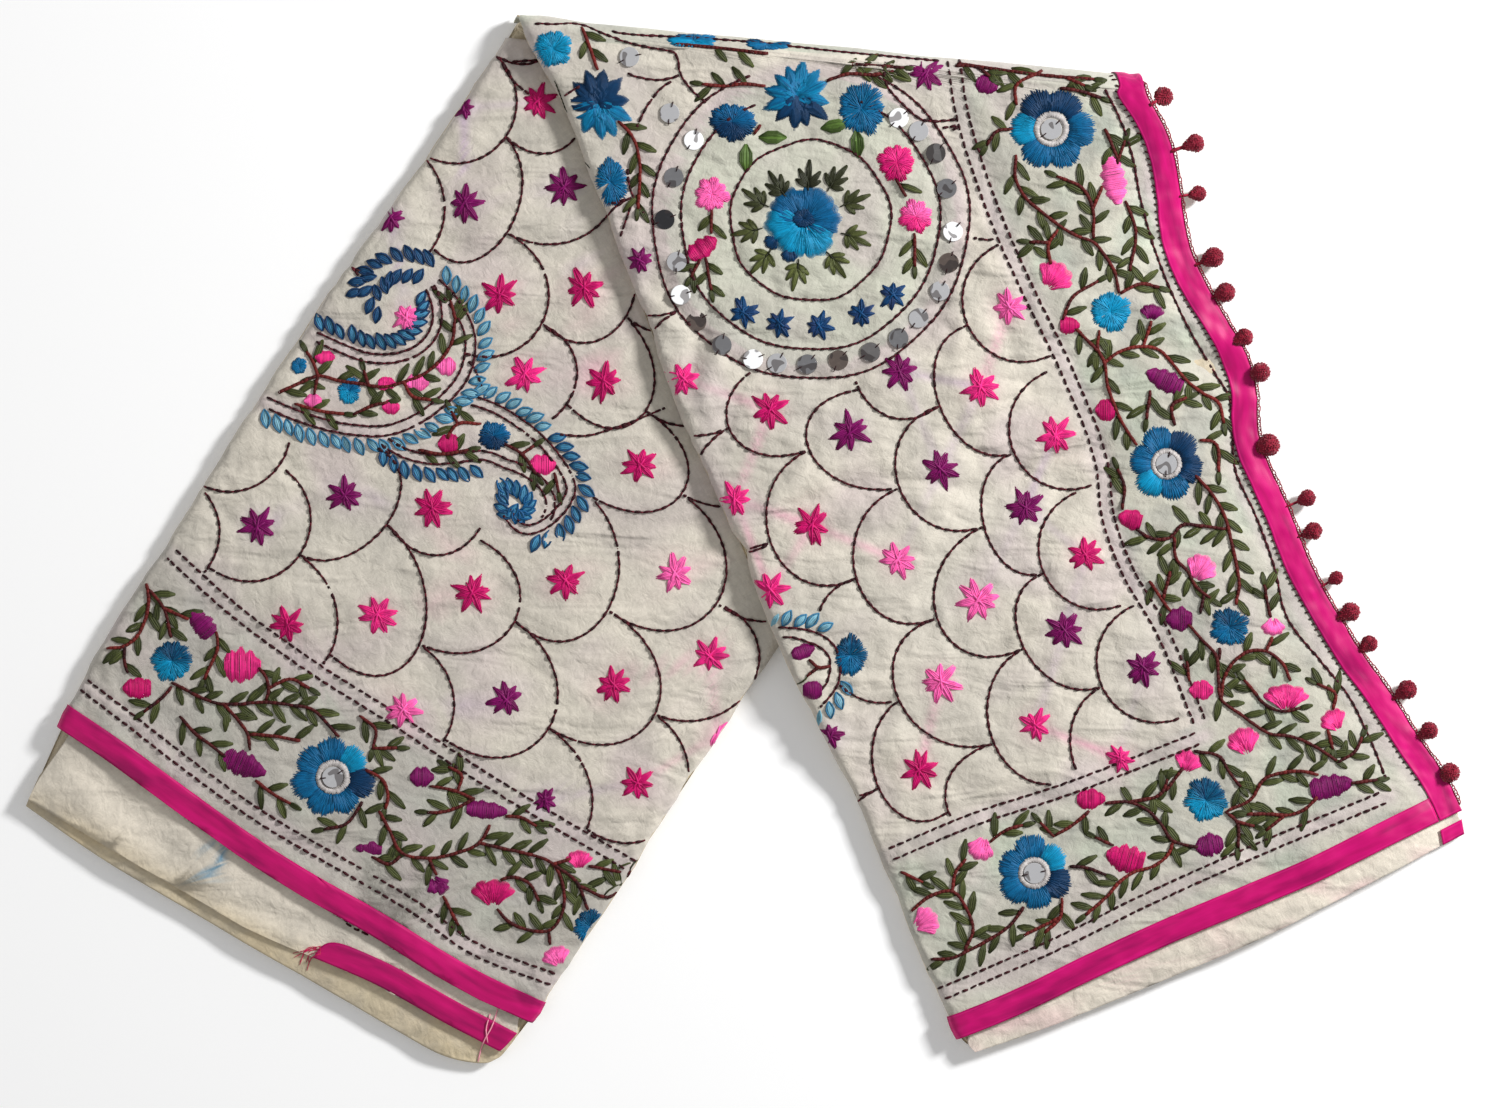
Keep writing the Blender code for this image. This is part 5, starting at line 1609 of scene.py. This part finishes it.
def spread(tree, value, low, high, first, last):
    """A value from low to high, made to run from first to last."""
    return add_node(tree, "ShaderNodeMapRange", {
        "Value": value, "From Min": low, "From Max": high, "To Min": first, "To Max": last,
    }).outputs["Result"]


def scaled_colour(tree, colour, level):
    return add_node(tree, "ShaderNodeVectorMath", {0: colour, "Scale": level},
                    operation="SCALE").outputs["Vector"]


def raised(tree, height, strength, distance, normal=None):
    """A normal for small relief, over another one if given."""
    inputs = {"Height": height, "Strength": strength, "Distance": distance}
    if normal:
        inputs["Normal"] = normal
    return add_node(tree, "ShaderNodeBump", inputs).outputs["Normal"]


def finish(tree, shader, **sockets):
    """Feed the shader's colour, normal and so on."""
    for name, value in sockets.items():
        tree.links.new(value, shader.inputs[name.replace("_", " ")])


def new_finish(name, roughness, metallic=0.0, sheen=0.0, specular=0.5):
    """A material with its shader's plain values set."""
    material = bpy.data.materials.new(name)
    material.use_nodes = True
    tree = material.node_tree
    shader = tree.nodes["Principled BSDF"]
    for socket, value in (("Roughness", roughness), ("Metallic", metallic),
                          ("Sheen Weight", sheen), ("Specular IOR Level", specular)):
        shader.inputs[socket].default_value = value
    return material, tree, shader


def effect(name, inputs, outputs):
    """A node group with named sockets, for an effect that several materials use."""
    group = bpy.data.node_groups.new(name, "ShaderNodeTree")
    for way, sockets in (("INPUT", inputs), ("OUTPUT", outputs)):
        for socket, kind in sockets.items():
            group.interface.new_socket(socket, in_out=way, socket_type="NodeSocket" + kind)
    given = group.nodes.new("NodeGroupInput").outputs
    result = group.nodes.new("NodeGroupOutput").inputs
    return group, given, result


def placed(tree, group, inputs):
    """An effect placed in a material with its own values."""
    return add_node(tree, "ShaderNodeGroup", inputs, node_tree=group).outputs


def plain_weave(tree, vector, threads):
    """Over and under threads with slubs, as a height and a shade."""
    bands = [
        add_node(tree, "ShaderNodeTexWave", {
            "Vector": vector, "Scale": threads, "Distortion": 1.2, "Detail": 1.0,
        }, bands_direction=way).outputs["Fac"]
        for way in ("X", "Y")
    ]
    slubs = figure(tree, "MULTIPLY", *(
        cloudy(tree, mapped(tree, vector, scale), 90.0, 3.0)
        for scale in ((1.0, 12.0, 1.0), (12.0, 1.0, 1.0))
    ))
    cross = figure(tree, "MULTIPLY", *bands)
    return figure(tree, "ADD", figure(tree, "MULTIPLY", cross, 0.5), slubs), slubs


# The cloth's finish: its threads to the metre, the tones of its darker grey patches, how yellow
# plain cloth is, and the stretch and turn of its long folds.
WEAVE_THREADS = 420.0
DARK_GREY_PATCH_TONE = dye(174, 168, 158)
GREY_PATCH_TONE = dye(188, 184, 174)
YELLOWING = dye(222, 200, 164)
LONG_FOLD_STRETCH = (0.34, 1.0, 1.0)
LONG_FOLD_TURN = 18


def cloth_effect():
    """Uneven threads, faint darker grey patches and small wrinkles, over the cloth's painted tints.
    """
    tree, given, result = effect(
        "fine cloth with grey patches",
        {"Places": "Vector", "Weave": "Vector", "Folds": "Vector", "Tint": "Color",
         "Yellowing": "Float"},
        {"Colour": "Color", "Normal": "Vector"},
    )
    vector = given["Places"]
    height, shade = plain_weave(tree, given["Weave"], WEAVE_THREADS)
    # Soft darker grey patches at two sizes, over the painted tints.
    dark_grey_share = spread(tree, cloudy(tree, vector, 34.0, 5.0, 0.6), 0.42, 0.72, 0.0, 0.62)
    greyed = mixed_colour(tree, dark_grey_share, given["Tint"], DARK_GREY_PATCH_TONE)
    grey_share = spread(tree, cloudy(tree, vector, 11.0, 3.0), 0.45, 0.7, 0.0, 0.4)
    greyed = mixed_colour(tree, grey_share, greyed, GREY_PATCH_TONE)
    lightness = spread(tree, cloudy(tree, vector, 210.0, 4.0, 0.7), 0.3, 0.7, 0.93, 1.05)
    level = figure(tree, "MULTIPLY", lightness, spread(tree, shade, 0.12, 0.4, 0.94, 1.05))
    toned = mixed_colour(tree, given["Yellowing"], scaled_colour(tree, greyed, level), YELLOWING,
                         "MULTIPLY")
    folds = raised(tree, cloudy(tree, given["Folds"], 46.0, 2.0, 0.5, 0.8), 0.95, 5.0 * MM)
    rough = raised(tree, cloudy(tree, vector, 130.0, 4.0, 0.55, 0.4), 0.8, 1.5 * MM, folds)
    tree.links.new(toned, result["Colour"])
    tree.links.new(raised(tree, height, 0.35, 0.2 * MM, rough), result["Normal"])
    return tree


def cloth_finish(name, group, angle, warm):
    """Fine soft cloth, woven at an angle on the plan."""
    material, tree, shader = new_finish(name, 0.82, sheen=0.22, specular=0.3)
    vector = object_places(tree)
    worn = placed(tree, group, {
        "Places": vector, "Weave": mapped(tree, vector, turn=angle),
        "Folds": mapped(tree, vector, LONG_FOLD_STRETCH, angle - LONG_FOLD_TURN),
        "Tint": stored(tree, "tint"), "Yellowing": warm,
    })
    finish(tree, shader, Base_Color=worn["Colour"], Normal=worn["Normal"])
    return material


def thread_effect():
    """The twist of plied thread, with its colour a little uneven along it."""
    tree, given, result = effect(
        "plied thread", {"Places": "Vector", "Along": "Vector", "Dye": "Color"},
        {"Colour": "Color", "Normal": "Vector"},
    )
    level = spread(tree, cloudy(tree, given["Places"], 260.0), 0.3, 0.7, 0.84, 1.12)
    twist = add_node(tree, "ShaderNodeTexWave", {
        "Vector": given["Along"], "Scale": 0.9, "Distortion": 0.4,
    }, bands_direction="DIAGONAL").outputs["Fac"]
    tree.links.new(scaled_colour(tree, given["Dye"], level), result["Colour"])
    tree.links.new(raised(tree, twist, 0.35, 0.12 * MM), result["Normal"])
    return tree


def thread_finish(name, group, roughness, sheen, gloss):
    """Dyed embroidery thread."""
    material, tree, shader = new_finish(name, roughness, sheen=sheen, specular=gloss)
    uv = add_node(tree, "ShaderNodeUVMap", uv_map="thread").outputs["UV"]
    plied = placed(tree, group, {
        "Places": object_places(tree), "Along": mapped(tree, uv, (1.0, 900.0, 1.0)),
        "Dye": stored(tree, "dye"),
    })
    finish(tree, shader, Base_Color=plied["Colour"], Normal=plied["Normal"])
    return material


# Painted sheen of the satin, darkest run to brightest, each as a place on the ramp, dull and
# bright.
SATIN_SHEEN_TONES = (
    (0.34, dye(146, 0, 80), dye(158, 0, 88)),
    (0.5, dye(180, 4, 94), dye(192, 2, 104)),
    (0.68, dye(202, 8, 106), dye(210, 4, 118)),
)
SELVEDGE_PINK = dye(240, 44, 140)
SELVEDGE_INSET = 1.3


def satin_sheen_effect():
    """Long brighter and darker runs of painted sheen, and a paler line by the edges."""
    tree, given, result = effect(
        "satin with painted sheen", {"Course": "Vector", "Edge": "Float", "Brightness": "Float"},
        {"Colour": "Color", "Normal": "Vector"},
    )
    course, bright = given["Course"], given["Brightness"]
    # Painted sheen: long brighter and darker runs along the ribbon's course.
    runs = cloudy(tree, mapped(tree, course, (1.0, 6.0, 1.0)), 20.0, 3.0, 0.5, 0.2)
    toned = []
    for column in (1, 2):
        ramp = add_node(tree, "ShaderNodeValToRGB", {"Fac": runs})
        ramp.color_ramp.elements.new(0.5)
        for element, tones in zip(ramp.color_ramp.elements, SATIN_SHEEN_TONES):
            element.position = tones[0]
            element.color = (*tones[column], 1.0)
        toned.append(ramp.outputs["Color"])
    off_line = figure(tree, "ABSOLUTE", figure(tree, "SUBTRACT", given["Edge"], SELVEDGE_INSET))
    paler = figure(tree, "MULTIPLY", spread(tree, off_line, 0.0, 0.6, 0.4, 0.0), bright)
    coloured = mixed_colour(tree, paler, mixed_colour(tree, bright, *toned), SELVEDGE_PINK)
    grain = cloudy(tree, mapped(tree, course, (1.0, 14.0, 1.0)), 140.0)
    tree.links.new(coloured, result["Colour"])
    tree.links.new(raised(tree, grain, 0.3, 0.1 * MM), result["Normal"])
    return tree


def satin_finish(name, group, bright, matt):
    """Satin ribbon, bright or dull, with painted sheen runs."""
    material, tree, shader = new_finish(name, 0.4 + matt, specular=0.24)
    satin = placed(tree, group, {
        "Course": stored(tree, "course", "Vector"), "Edge": stored(tree, "edge", "Fac"),
        "Brightness": bright,
    })
    finish(tree, shader, Base_Color=satin["Colour"], Normal=satin["Normal"])
    return material


def mirror_finish():
    """Silvered glass, a little worn, with a painted reflection in each disc that stands for a
    different part of the room.
    """
    material, tree, shader = new_finish("silvered glass", 0.12, metallic=1.0)
    vector = object_places(tree)
    # Painted dark reflection over part of each disc, in patches.
    dark_reflection_patches = spread(tree, cloudy(tree, vector, 130.0, 0.0, 0.5, 0.6), 0.58, 0.6, 0.0, 0.75)
    colour = mixed_colour(tree, dark_reflection_patches, stored(tree, "glass"), PAINTED_DARK_REFLECTION)
    wear = spread(tree, cloudy(tree, vector, 420.0, 3.0), 0.4, 0.7, 0.08, 0.3)
    finish(tree, shader, Base_Color=colour, Metallic=stored(tree, "glass", "Alpha"),
           Roughness=wear)
    return material


def yarn_finish():
    """Soft crimson yarn, with painted shade that darkens the hollows of its bump."""
    material, tree, shader = new_finish("crimson pompom yarn with painted shade", 0.85, sheen=0.5, specular=0.2)
    tufts = cloudy(tree, object_places(tree), 620.0, 4.0, 0.7)
    # Painted shade: the same noise that makes the bump makes its low parts darker.
    share = spread(tree, tufts, 0.35, 0.65, 0.0, 1.0)
    finish(tree, shader, Base_Color=mixed_colour(tree, share, DEEP_CRIMSON, CRIMSON),
           Normal=raised(tree, tufts, 0.6, 0.5 * MM))
    return material


def give_finish(made, material):
    made.data.materials.clear()
    made.data.materials.append(material)


# Edges of open sheets.
def rim_keys(mesh):
    """The edges of an open sheet that only one face uses, as pairs of points."""
    uses = {}
    for face in mesh.polygons:
        for key in face.edge_keys:
            uses[key] = uses.get(key, 0) + 1
    return [key for key, count in uses.items() if count == 1]


def sheet_rim(made):
    """The edge points of an open sheet."""
    rim = {index for key in rim_keys(made.data) for index in key}
    return [made.data.vertices[index].co.copy() for index in rim]


def boundary_loops(made):
    """The edge points of an open sheet, in order, one list for each closed edge."""
    links = {}
    for first, second in rim_keys(made.data):
        links.setdefault(first, []).append(second)
        links.setdefault(second, []).append(first)
    loops = []
    left = set(links)
    while left:
        start = left.pop()
        loop = [start]
        here = links[start][0]
        while here in left:
            left.discard(here)
            loop.append(here)
            ahead = [other for other in links[here] if other in left]
            if not ahead:
                break
            here = ahead[0]
        loops.append([made.data.vertices[index].co.copy() for index in loop])
    return loops


# Folded edges: how straight and long a stretch of edge has them, and each roll's depth and
# inset in millimetres.
ALONG_LEG = 0.86
SHORTEST_RUN = 30
FOLD_DEPTHS = ((0.6, 0.7), (1.9, 0.5), (3.2, 0.9), (4.5, 0.6), (5.8, 1.0))


def side_runs(made, axis):
    """Stretches of a sheet's edge that run along its leg."""
    runs = []
    for loop in boundary_loops(made):
        run = []
        for index, point in enumerate(loop):
            ahead = (loop[(index + 3) % len(loop)] - loop[index - 3]).to_2d()
            if ahead.length > 0 and abs(ahead.normalized().dot(axis)) > ALONG_LEG:
                run.append(point)
                continue
            if len(run) > SHORTEST_RUN:
                runs.append(run)
            run = []
        if len(run) > SHORTEST_RUN:
            runs.append(run)
    return runs


def folded_edges(name, runs, middle):
    """Folded edges of the hidden layers, as soft rolls stacked under a face's edge."""
    work = ThreadWork(name, sides=6)
    for run in runs:
        for number, (depth, inset) in enumerate(FOLD_DEPTHS):
            line = []
            for index in range(0, len(run), 3):
                point = run[index]
                ahead = run_at(run, index, 3)
                inward = Vector((-ahead.y, ahead.x, 0.0)).normalized()
                if inward.dot(middle - point) < 0:
                    inward = -inward
                wave = 0.6 * noise.noise(Vector((index * 0.03, number * 7.3, 0.0)))
                spot = point + inward * (inset + wave) * MM
                line.append((spot.x, spot.y, point.z - depth * MM))
            if min(spot[2] for spot in line) > 0.1 * MM:
                line = [(x, y, max(z, 0.72 * MM)) for x, y, z in line]
                work.add(line, FOLD_ROLL, varied(IVORY, SHADE_BEIGE, random.random()))
    return work.make()


# Ribbons and braid.
def ribbon_course(line):
    """The place along and across a ribbon of any plan point, from a line along its edge."""
    path = drawn(line, COURSE_PITCH)
    tree = tree_of(path)

    def course(point):
        spot = Vector((point.x, point.y))
        index = tree.find(on_floor(spot))[1]
        run = run_at(path, index).normalized()
        offset = spot - path[index]
        return index * COURSE_PITCH + offset.dot(run), abs(run.x * offset.y - run.y * offset.x)

    return course


def make_ribbon(name, node, leg, line):
    """A satin ribbon on its leg's relief, a little full across, with small ripples."""
    course = ribbon_course(line)

    def fullness(point):
        along, across = course(point)
        share = min(across / RIBBON_WIDTH, 1.0)
        bulge = 0.6 * MM * (1 - (2 * share - 1) ** 2)
        spot = Vector((along / 0.011, across / 0.02, leg == "left"))
        return 0.1 * MM + bulge + 0.3 * MM * noise.noise(spot)

    made = finer_sheet(name, node, 3, leg, node != "ribbon_body_second", fullness)
    tree = tree_of(sheet_rim(made))
    vertices = made.data.vertices
    store(made.data, "edge", "FLOAT", "value",
          [tree.find(on_floor(vert.co))[2] / MM for vert in vertices])
    store(made.data, "course", "FLOAT_VECTOR", "vector",
          [part for vert in vertices for part in (*course(vert.co), 0.0)])
    return with_wall(made, RIBBON_WALL)


def ribbon_edge(rim, line, pitch):
    """One edge of the end ribbon in space, from the crease to the corner."""
    tree = tree_of(rim)
    path = []
    for point in beside(drawn(line, pitch), 0.3 * MM):
        path.append(rim[tree.find(on_floor(point))[1]] - Vector((0.0, 0.0, 0.3 * MM)))
    smooth = []
    for index in range(len(path)):
        some = path[max(index - 2, 0):index + 3]
        smooth.append(sum(some, Vector()) / len(some))
    return smooth


def hem_stitches(cloth, edge):
    """Small dark whip stitches along the end ribbon's inner edge, each on its own."""
    work = ThreadWork("hem_stitch")
    path = [point.to_2d() for point in edge]
    for index in range(1, len(path) - 2, 2):
        run = run_at(path, index).normalized()
        aside = turned(run, -90) * uniform(0.9, 1.4) * MM
        middle = path[index] + turned(run, -90) * 0.5 * MM
        plan = between(middle + aside - run * 0.7 * MM, middle - aside + run * 0.7 * MM, 3)
        work.lay(cloth, plan, HEMMING, varied(MAROON, MAROON_BLACK, uniform(0.5, 1.0)))
    return work.make()


def loose_threads(cloths):
    """Frayed ends of the second ribbon, and two lengths of pale pink yarn by the corner."""
    work = ThreadWork("loose_threads", sides=5)

    def level(point):
        heights = [cloth.height(point.x, point.y) for cloth in cloths]
        return max([height for height in heights if height is not None] or [0.0])

    frayed = []
    for index in range(FRAYED_COUNT):
        x, y = FRAYED_END
        y += 9 * index / FRAYED_COUNT - 4
        frayed.append([(x, y), (x - uniform(8, 16), y + uniform(-2, 6)),
                       (x - uniform(12, 30), y + uniform(4, 24))])
    for rows, thread, colour in ((frayed, FRAYED, FRAYED_PINK), (LOOSE_YARN, YARN, YARN_PINK)):
        for points in rows:
            path = drawn(points, 2.5 * MM)
            line = [(point.x, point.y, level(point) + thread.radius * 1.4) for point in path]
            if len(line) > 3:
                work.add(line, thread, colour)
    return work.make()


def make_braid(edge_path):
    """A lacy crimson braid: a cord along the ribbon's outer edge, with small loops on it."""
    work = ThreadWork("lace_braid")
    runs = [run_at(edge_path, index) for index in range(len(edge_path))]
    outs = [Vector((-run.y, run.x, 0.0)).normalized() for run in runs]
    cord = [point + out * 0.2 * MM for point, out in zip(edge_path, outs)]
    for index in range(len(cord) - 2):
        work.add(cord[index:index + 3], BRAID_CORD, DEEP_CRIMSON)
    for index in range(0, len(cord) - 3, 2):
        first, last = cord[index], cord[index + 3]
        reach = uniform(1.2, 2.0) * MM
        loop = []
        for step in range(6):
            angle = math.pi * step / 5
            along = first.lerp(last, 0.5 - 0.6 * math.cos(angle))
            loop.append(along + outs[index] * reach * math.sin(angle)
                        + Vector((0, 0, uniform(-0.3, 0.3) * MM)))
        work.add(loop, BRAID_LOOP, varied(DEEP_CRIMSON, CRIMSON, random.random()))
    return work.make()


# Pompoms.
POMPOM_RADIUS = 6.1 * MM
TUFT_COUNT = 250
GOLDEN_ANGLE = 2.39996
THICK_STEMMED = 0.9


def pompom_centre(spot, points):
    """Where the trim's solid has the pompom that is nearest a place on the plan."""
    near = [point for point in points if (point.to_2d() - spot).length < 6.5 * MM]
    if not near:
        return spot.to_3d() + Vector((0, 0, POMPOM_RADIUS + 1.4 * MM))
    low = min(point.z for point in near)
    middle = (low + max(point.z for point in near)) / 2
    return Vector((spot.x, spot.y, max(low + 6.0 * MM, middle)))


def make_pompoms(edge_path):
    """Yarn balls on stems along the braid: a lumpy core with short tufts all round."""
    points = [vert.co.copy() for node in ("pompom_trim_upper", "pompom_trim_lower")
              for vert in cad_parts[node].data.vertices]
    cores = bmesh.new()
    tufts = ThreadWork("pompom_tufts", sides=3)
    stems = ThreadWork("pompom_stems", sides=5)
    rail = tree_of(edge_path)
    for x, y, size in POMPOM_PLACES:
        centre = pompom_centre(place(x, y), points)
        root = edge_path[rail.find(on_floor(centre))[1]].copy()
        outward = (centre - root).normalized()
        radius = POMPOM_RADIUS * size
        drop = uniform(0.15, 0.6)
        frame_turn = outward.to_track_quat("X", "Z").to_matrix()

        def shaped(unit, drop=drop, radius=radius, frame_turn=frame_turn):
            """A ball drawn out a little towards its stem."""
            back = max(-unit.x, 0.0)
            pull = 1 + drop * back * back
            narrow = 1 - 0.5 * drop * back
            drawn_out = Vector((unit.x * pull, unit.y * narrow, unit.z * narrow * 0.96))
            return frame_turn @ drawn_out * radius

        made = bmesh.ops.create_icosphere(cores, subdivisions=3, radius=1.0)
        for vert in made["verts"]:
            unit = vert.co.copy()
            lump = 0.88 + 0.15 * noise.noise(unit * 2.2 + Vector((x, y, 0.0)))
            vert.co = centre + shaped(unit) * lump
        for index in range(TUFT_COUNT):
            height = 1 - 2 * (index + 0.5) / TUFT_COUNT
            angle = index * GOLDEN_ANGLE
            flat = math.sqrt(1 - height * height)
            reach = shaped(Vector((flat * math.cos(angle), flat * math.sin(angle), height)))
            wild = Vector((uniform(-1, 1), uniform(-1, 1), uniform(-1, 1)))
            tip = centre + reach * uniform(0.95, 1.03) + wild * 0.3 * MM
            tip.z = max(tip.z, 0.5 * MM)
            start = centre + reach * 0.74
            colour = varied(CRIMSON, DEEP_CRIMSON, random.random() * 0.8)
            tufts.add([start, start.lerp(tip, 0.6) + wild * 0.15 * MM, tip], TUFT, colour)
        far = centre - outward * radius * 0.7
        sag = Vector((0, 0, -0.12 * (far - root).length))
        line = [root - outward * 1.5 * MM, root.lerp(far, 0.35) + sag,
                root.lerp(far, 0.7) + sag, far]
        thread = THICK_STEM if size > THICK_STEMMED else THIN_STEM
        stems.add(line, thread, DEEP_CRIMSON)
        stems.add([point + Vector((0.5, 0.5, 0.2)) * MM for point in line], thread, CRIMSON, 0.8)
    return from_bmesh("pompom_cores", cores), tufts.make(), stems.make()


# Inner layers.
CORE_TOP = 0.6
CORE_SINK = 1.6 * MM


def make_core():
    """The hidden layers as one soft form, with its top kept clear of the faces."""
    core = bmesh.new()
    core.from_mesh(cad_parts["inner_layers"].data)
    bmesh.ops.remove_doubles(core, verts=core.verts[:], dist=MERGE)
    bmesh.ops.join_triangles(
        core, faces=core.faces[:], angle_face_threshold=0.7, angle_shape_threshold=1.2,
    )
    made = subdivided(from_bmesh("hidden_layers", core), 1)
    for vert in made.data.vertices:
        if vert.normal.z > CORE_TOP:
            vert.co.z -= CORE_SINK
        vert.co.z = max(vert.co.z, 0.0)
    made.data.update()
    return made


# Light, floor and camera.
FLOOR_DEPTH = 0.2 * MM
FLOOR_WHITE = (0.96, 0.96, 0.96, 1.0)
FLOOR_GLOW = 0.07
WHITE = (1.0, 1.0, 1.0, 1.0)
WORLD_STRENGTH = 0.34
SOFT_LIGHTS = [
    ("key", (2.2, 1.25, 1.5), 0.45, 106.0),
    ("fill", (-1.6, -0.6, 2.0), 1.8, 8.0),
]
CAMERA_HEIGHT = 3.011
PICTURE_MIDDLE = (750, 554)


def make_stage():
    floor_mesh = bmesh.new()
    bmesh.ops.create_grid(floor_mesh, x_segments=4, y_segments=4, size=4.0)
    floor = from_bmesh("floor", floor_mesh)
    for vert in floor.data.vertices:
        vert.co.z = -FLOOR_DEPTH
    material, tree, shader = new_finish("white floor", 0.9, specular=0.1)
    shader.inputs["Base Color"].default_value = FLOOR_WHITE
    shader.inputs["Emission Color"].default_value = WHITE
    shader.inputs["Emission Strength"].default_value = FLOOR_GLOW
    give_finish(floor, material)

    world = bpy.data.worlds.new("studio")
    bpy.context.scene.world = world
    world.use_nodes = True
    background = world.node_tree.nodes["Background"]
    background.inputs["Color"].default_value = WHITE
    background.inputs["Strength"].default_value = WORLD_STRENGTH

    for name, spot, size, power in SOFT_LIGHTS:
        light = bpy.data.lights.new(name, "AREA")
        light.shape = "SQUARE"
        light.size = size
        light.energy = power
        lamp = in_scene(name, light)
        lamp.location = spot
        lamp.rotation_mode = "QUATERNION"
        lamp.rotation_quaternion = (Vector(spot) * -1).to_track_quat("-Z", "Y")

    data = bpy.data.cameras.new("camera")
    data.sensor_width = 36.0
    data.lens = 120.0
    data.clip_start = 0.1
    data.clip_end = 20.0
    camera = in_scene("camera", data)
    camera.location = (*place(*PICTURE_MIDDLE), CAMERA_HEIGHT)
    bpy.context.scene.camera = camera
    bpy.context.scene.view_settings.view_transform = "Standard"


# The whole part.
RIGHT_AXIS = Vector((0.41, -0.91))
LEFT_AXIS = Vector((0.53, 0.85))
RIGHT_MIDDLE = (1100, 520)
LEFT_MIDDLE = (420, 560)


def main():
    worn, plied, satin = cloth_effect(), thread_effect(), satin_sheen_effect()
    right_cloth = cloth_finish("kantha cloth of the end piece", worn, 24, 0.0)
    left_cloth = cloth_finish("kantha cloth of the body", worn, -32, 0.0)
    inner_cloth = cloth_finish("plain inner cloth", worn, -32, 0.1)
    silk = thread_finish("embroidery silk", plied, 0.5, 0.0, 0.22)
    cotton = thread_finish("running thread", plied, 0.65, 0.0, 0.2)
    crimson = thread_finish("crimson yarn", plied, 0.8, 0.2, 0.2)

    pallu = finer_sheet("end_piece", "pallu_face", 3, "right", True)
    body = finer_sheet("body_piece", "body_face", 4, "left", True)
    right = Cloth(pallu)
    left = Cloth(body, over=right)
    paint(pallu, leg_colour("right", RIGHT_STARS, RIGHT_BORDERS, RIGHT_FIELD))
    paint(body, leg_colour("left", LEFT_STARS, LEFT_BORDERS, LEFT_FIELD))
    folds = folded_edges("folded_edges", side_runs(pallu, RIGHT_AXIS),
                         place(*RIGHT_MIDDLE).to_3d())
    body_folds = folded_edges("folded_edges_of_body", side_runs(body, LEFT_AXIS),
                              place(*LEFT_MIDDLE).to_3d())
    give_finish(with_wall(pallu, CLOTH_WALL), right_cloth)
    give_finish(with_wall(body, CLOTH_WALL), left_cloth)
    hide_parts("pallu_face")
    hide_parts("body_face")
    faces = [pallu, body]

    lowers = []
    under = {}
    for name, node, leg, levels, flat, tone in (
        ("body_second", "body_second_layer", "left", 4, (0.34, 0.08), second_layer_colour),
        ("body_third", "body_third_layer", "left", 3, (0.34, 0.09), third_layer_colour),
        ("end_second", "pallu_second_layer", "right", 3, (0.345, 0.06), end_layer_colour),
    ):
        layer = finer_sheet(name, node, levels, leg, False)
        under[name] = Cloth(layer, over=left if leg == "left" else right)
        paint(layer, tone)
        give_finish(with_wall(layer, CLOTH_WALL), inner_cloth)
        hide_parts(node)
        lowers.append(layer)

    ribbons = {}
    for name, node, leg, line, flat, bright, matt in (
        ("ribbon_on_body", "ribbon_body_edge", "left", BODY_RIBBON, (0.015, 0.35), 0.35, 0.12),
        ("ribbon_on_second", "ribbon_body_second", "left", SECOND_RIBBON, (0.015, 0.14), 0.3, 0.12),
        ("ribbon_on_edge", "ribbon_pallu_edge", "right", EDGE_RIBBON, (0.015, 0.34), 0.7, 0.04),
        ("ribbon_on_end", "ribbon_pallu_end", "right", END_RIBBON_OUTER, (0.015, 0.52), 0.8, 0.08),
        ("ribbon_at_corner", "ribbon_corner_return", "right", EDGE_RIBBON, (0.012, 0.0115), 0.7,
         0.0),
    ):
        ribbon = make_ribbon(name, node, leg, line)
        finished = satin_finish("satin of " + name.replace("_", " "), satin, bright, matt)
        give_finish(ribbon, finished)
        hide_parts(node)
        ribbons[name] = ribbon
    rim = sheet_rim(ribbons["ribbon_on_end"])

    core = make_core()
    paint(core, third_layer_colour)
    give_finish(core, inner_cloth)
    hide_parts("inner_layers")
    for piece in (folds, body_folds):
        give_finish(piece, cotton)

    works = embroider(right, left, under["body_second"])
    works.append(hem_stitches(right, ribbon_edge(rim, END_RIBBON_INNER, 2.0 * MM)))
    for work in works:
        plain = work.name in ("running_stitch", "stem_stitch", "hem_stitch")
        give_finish(work, cotton if plain else silk)
    mirrors, holders = make_mirrors(right, left)
    give_finish(mirrors, mirror_finish())
    give_finish(holders, cotton)
    loose = loose_threads([Cloth(ribbons["ribbon_on_second"]), under["body_third"],
                           under["body_second"]])
    give_finish(loose, crimson)

    edge_path = ribbon_edge(rim, END_RIBBON_OUTER, EDGE_PITCH)
    cores, tufts, stems = make_pompoms(edge_path)
    braid = make_braid(edge_path)
    give_finish(cores, yarn_finish())
    for piece in (tufts, stems, braid):
        give_finish(piece, crimson)
    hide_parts("pompom_trim_upper", "pompom_trim_lower")
    trims = [cores, tufts, stems, braid, loose]
    for piece in faces + lowers + list(ribbons.values()) + works + trims:
        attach(piece, "root")
    for piece in (core, folds, body_folds, mirrors, holders):
        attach(piece, "root")
    make_stage()


main()
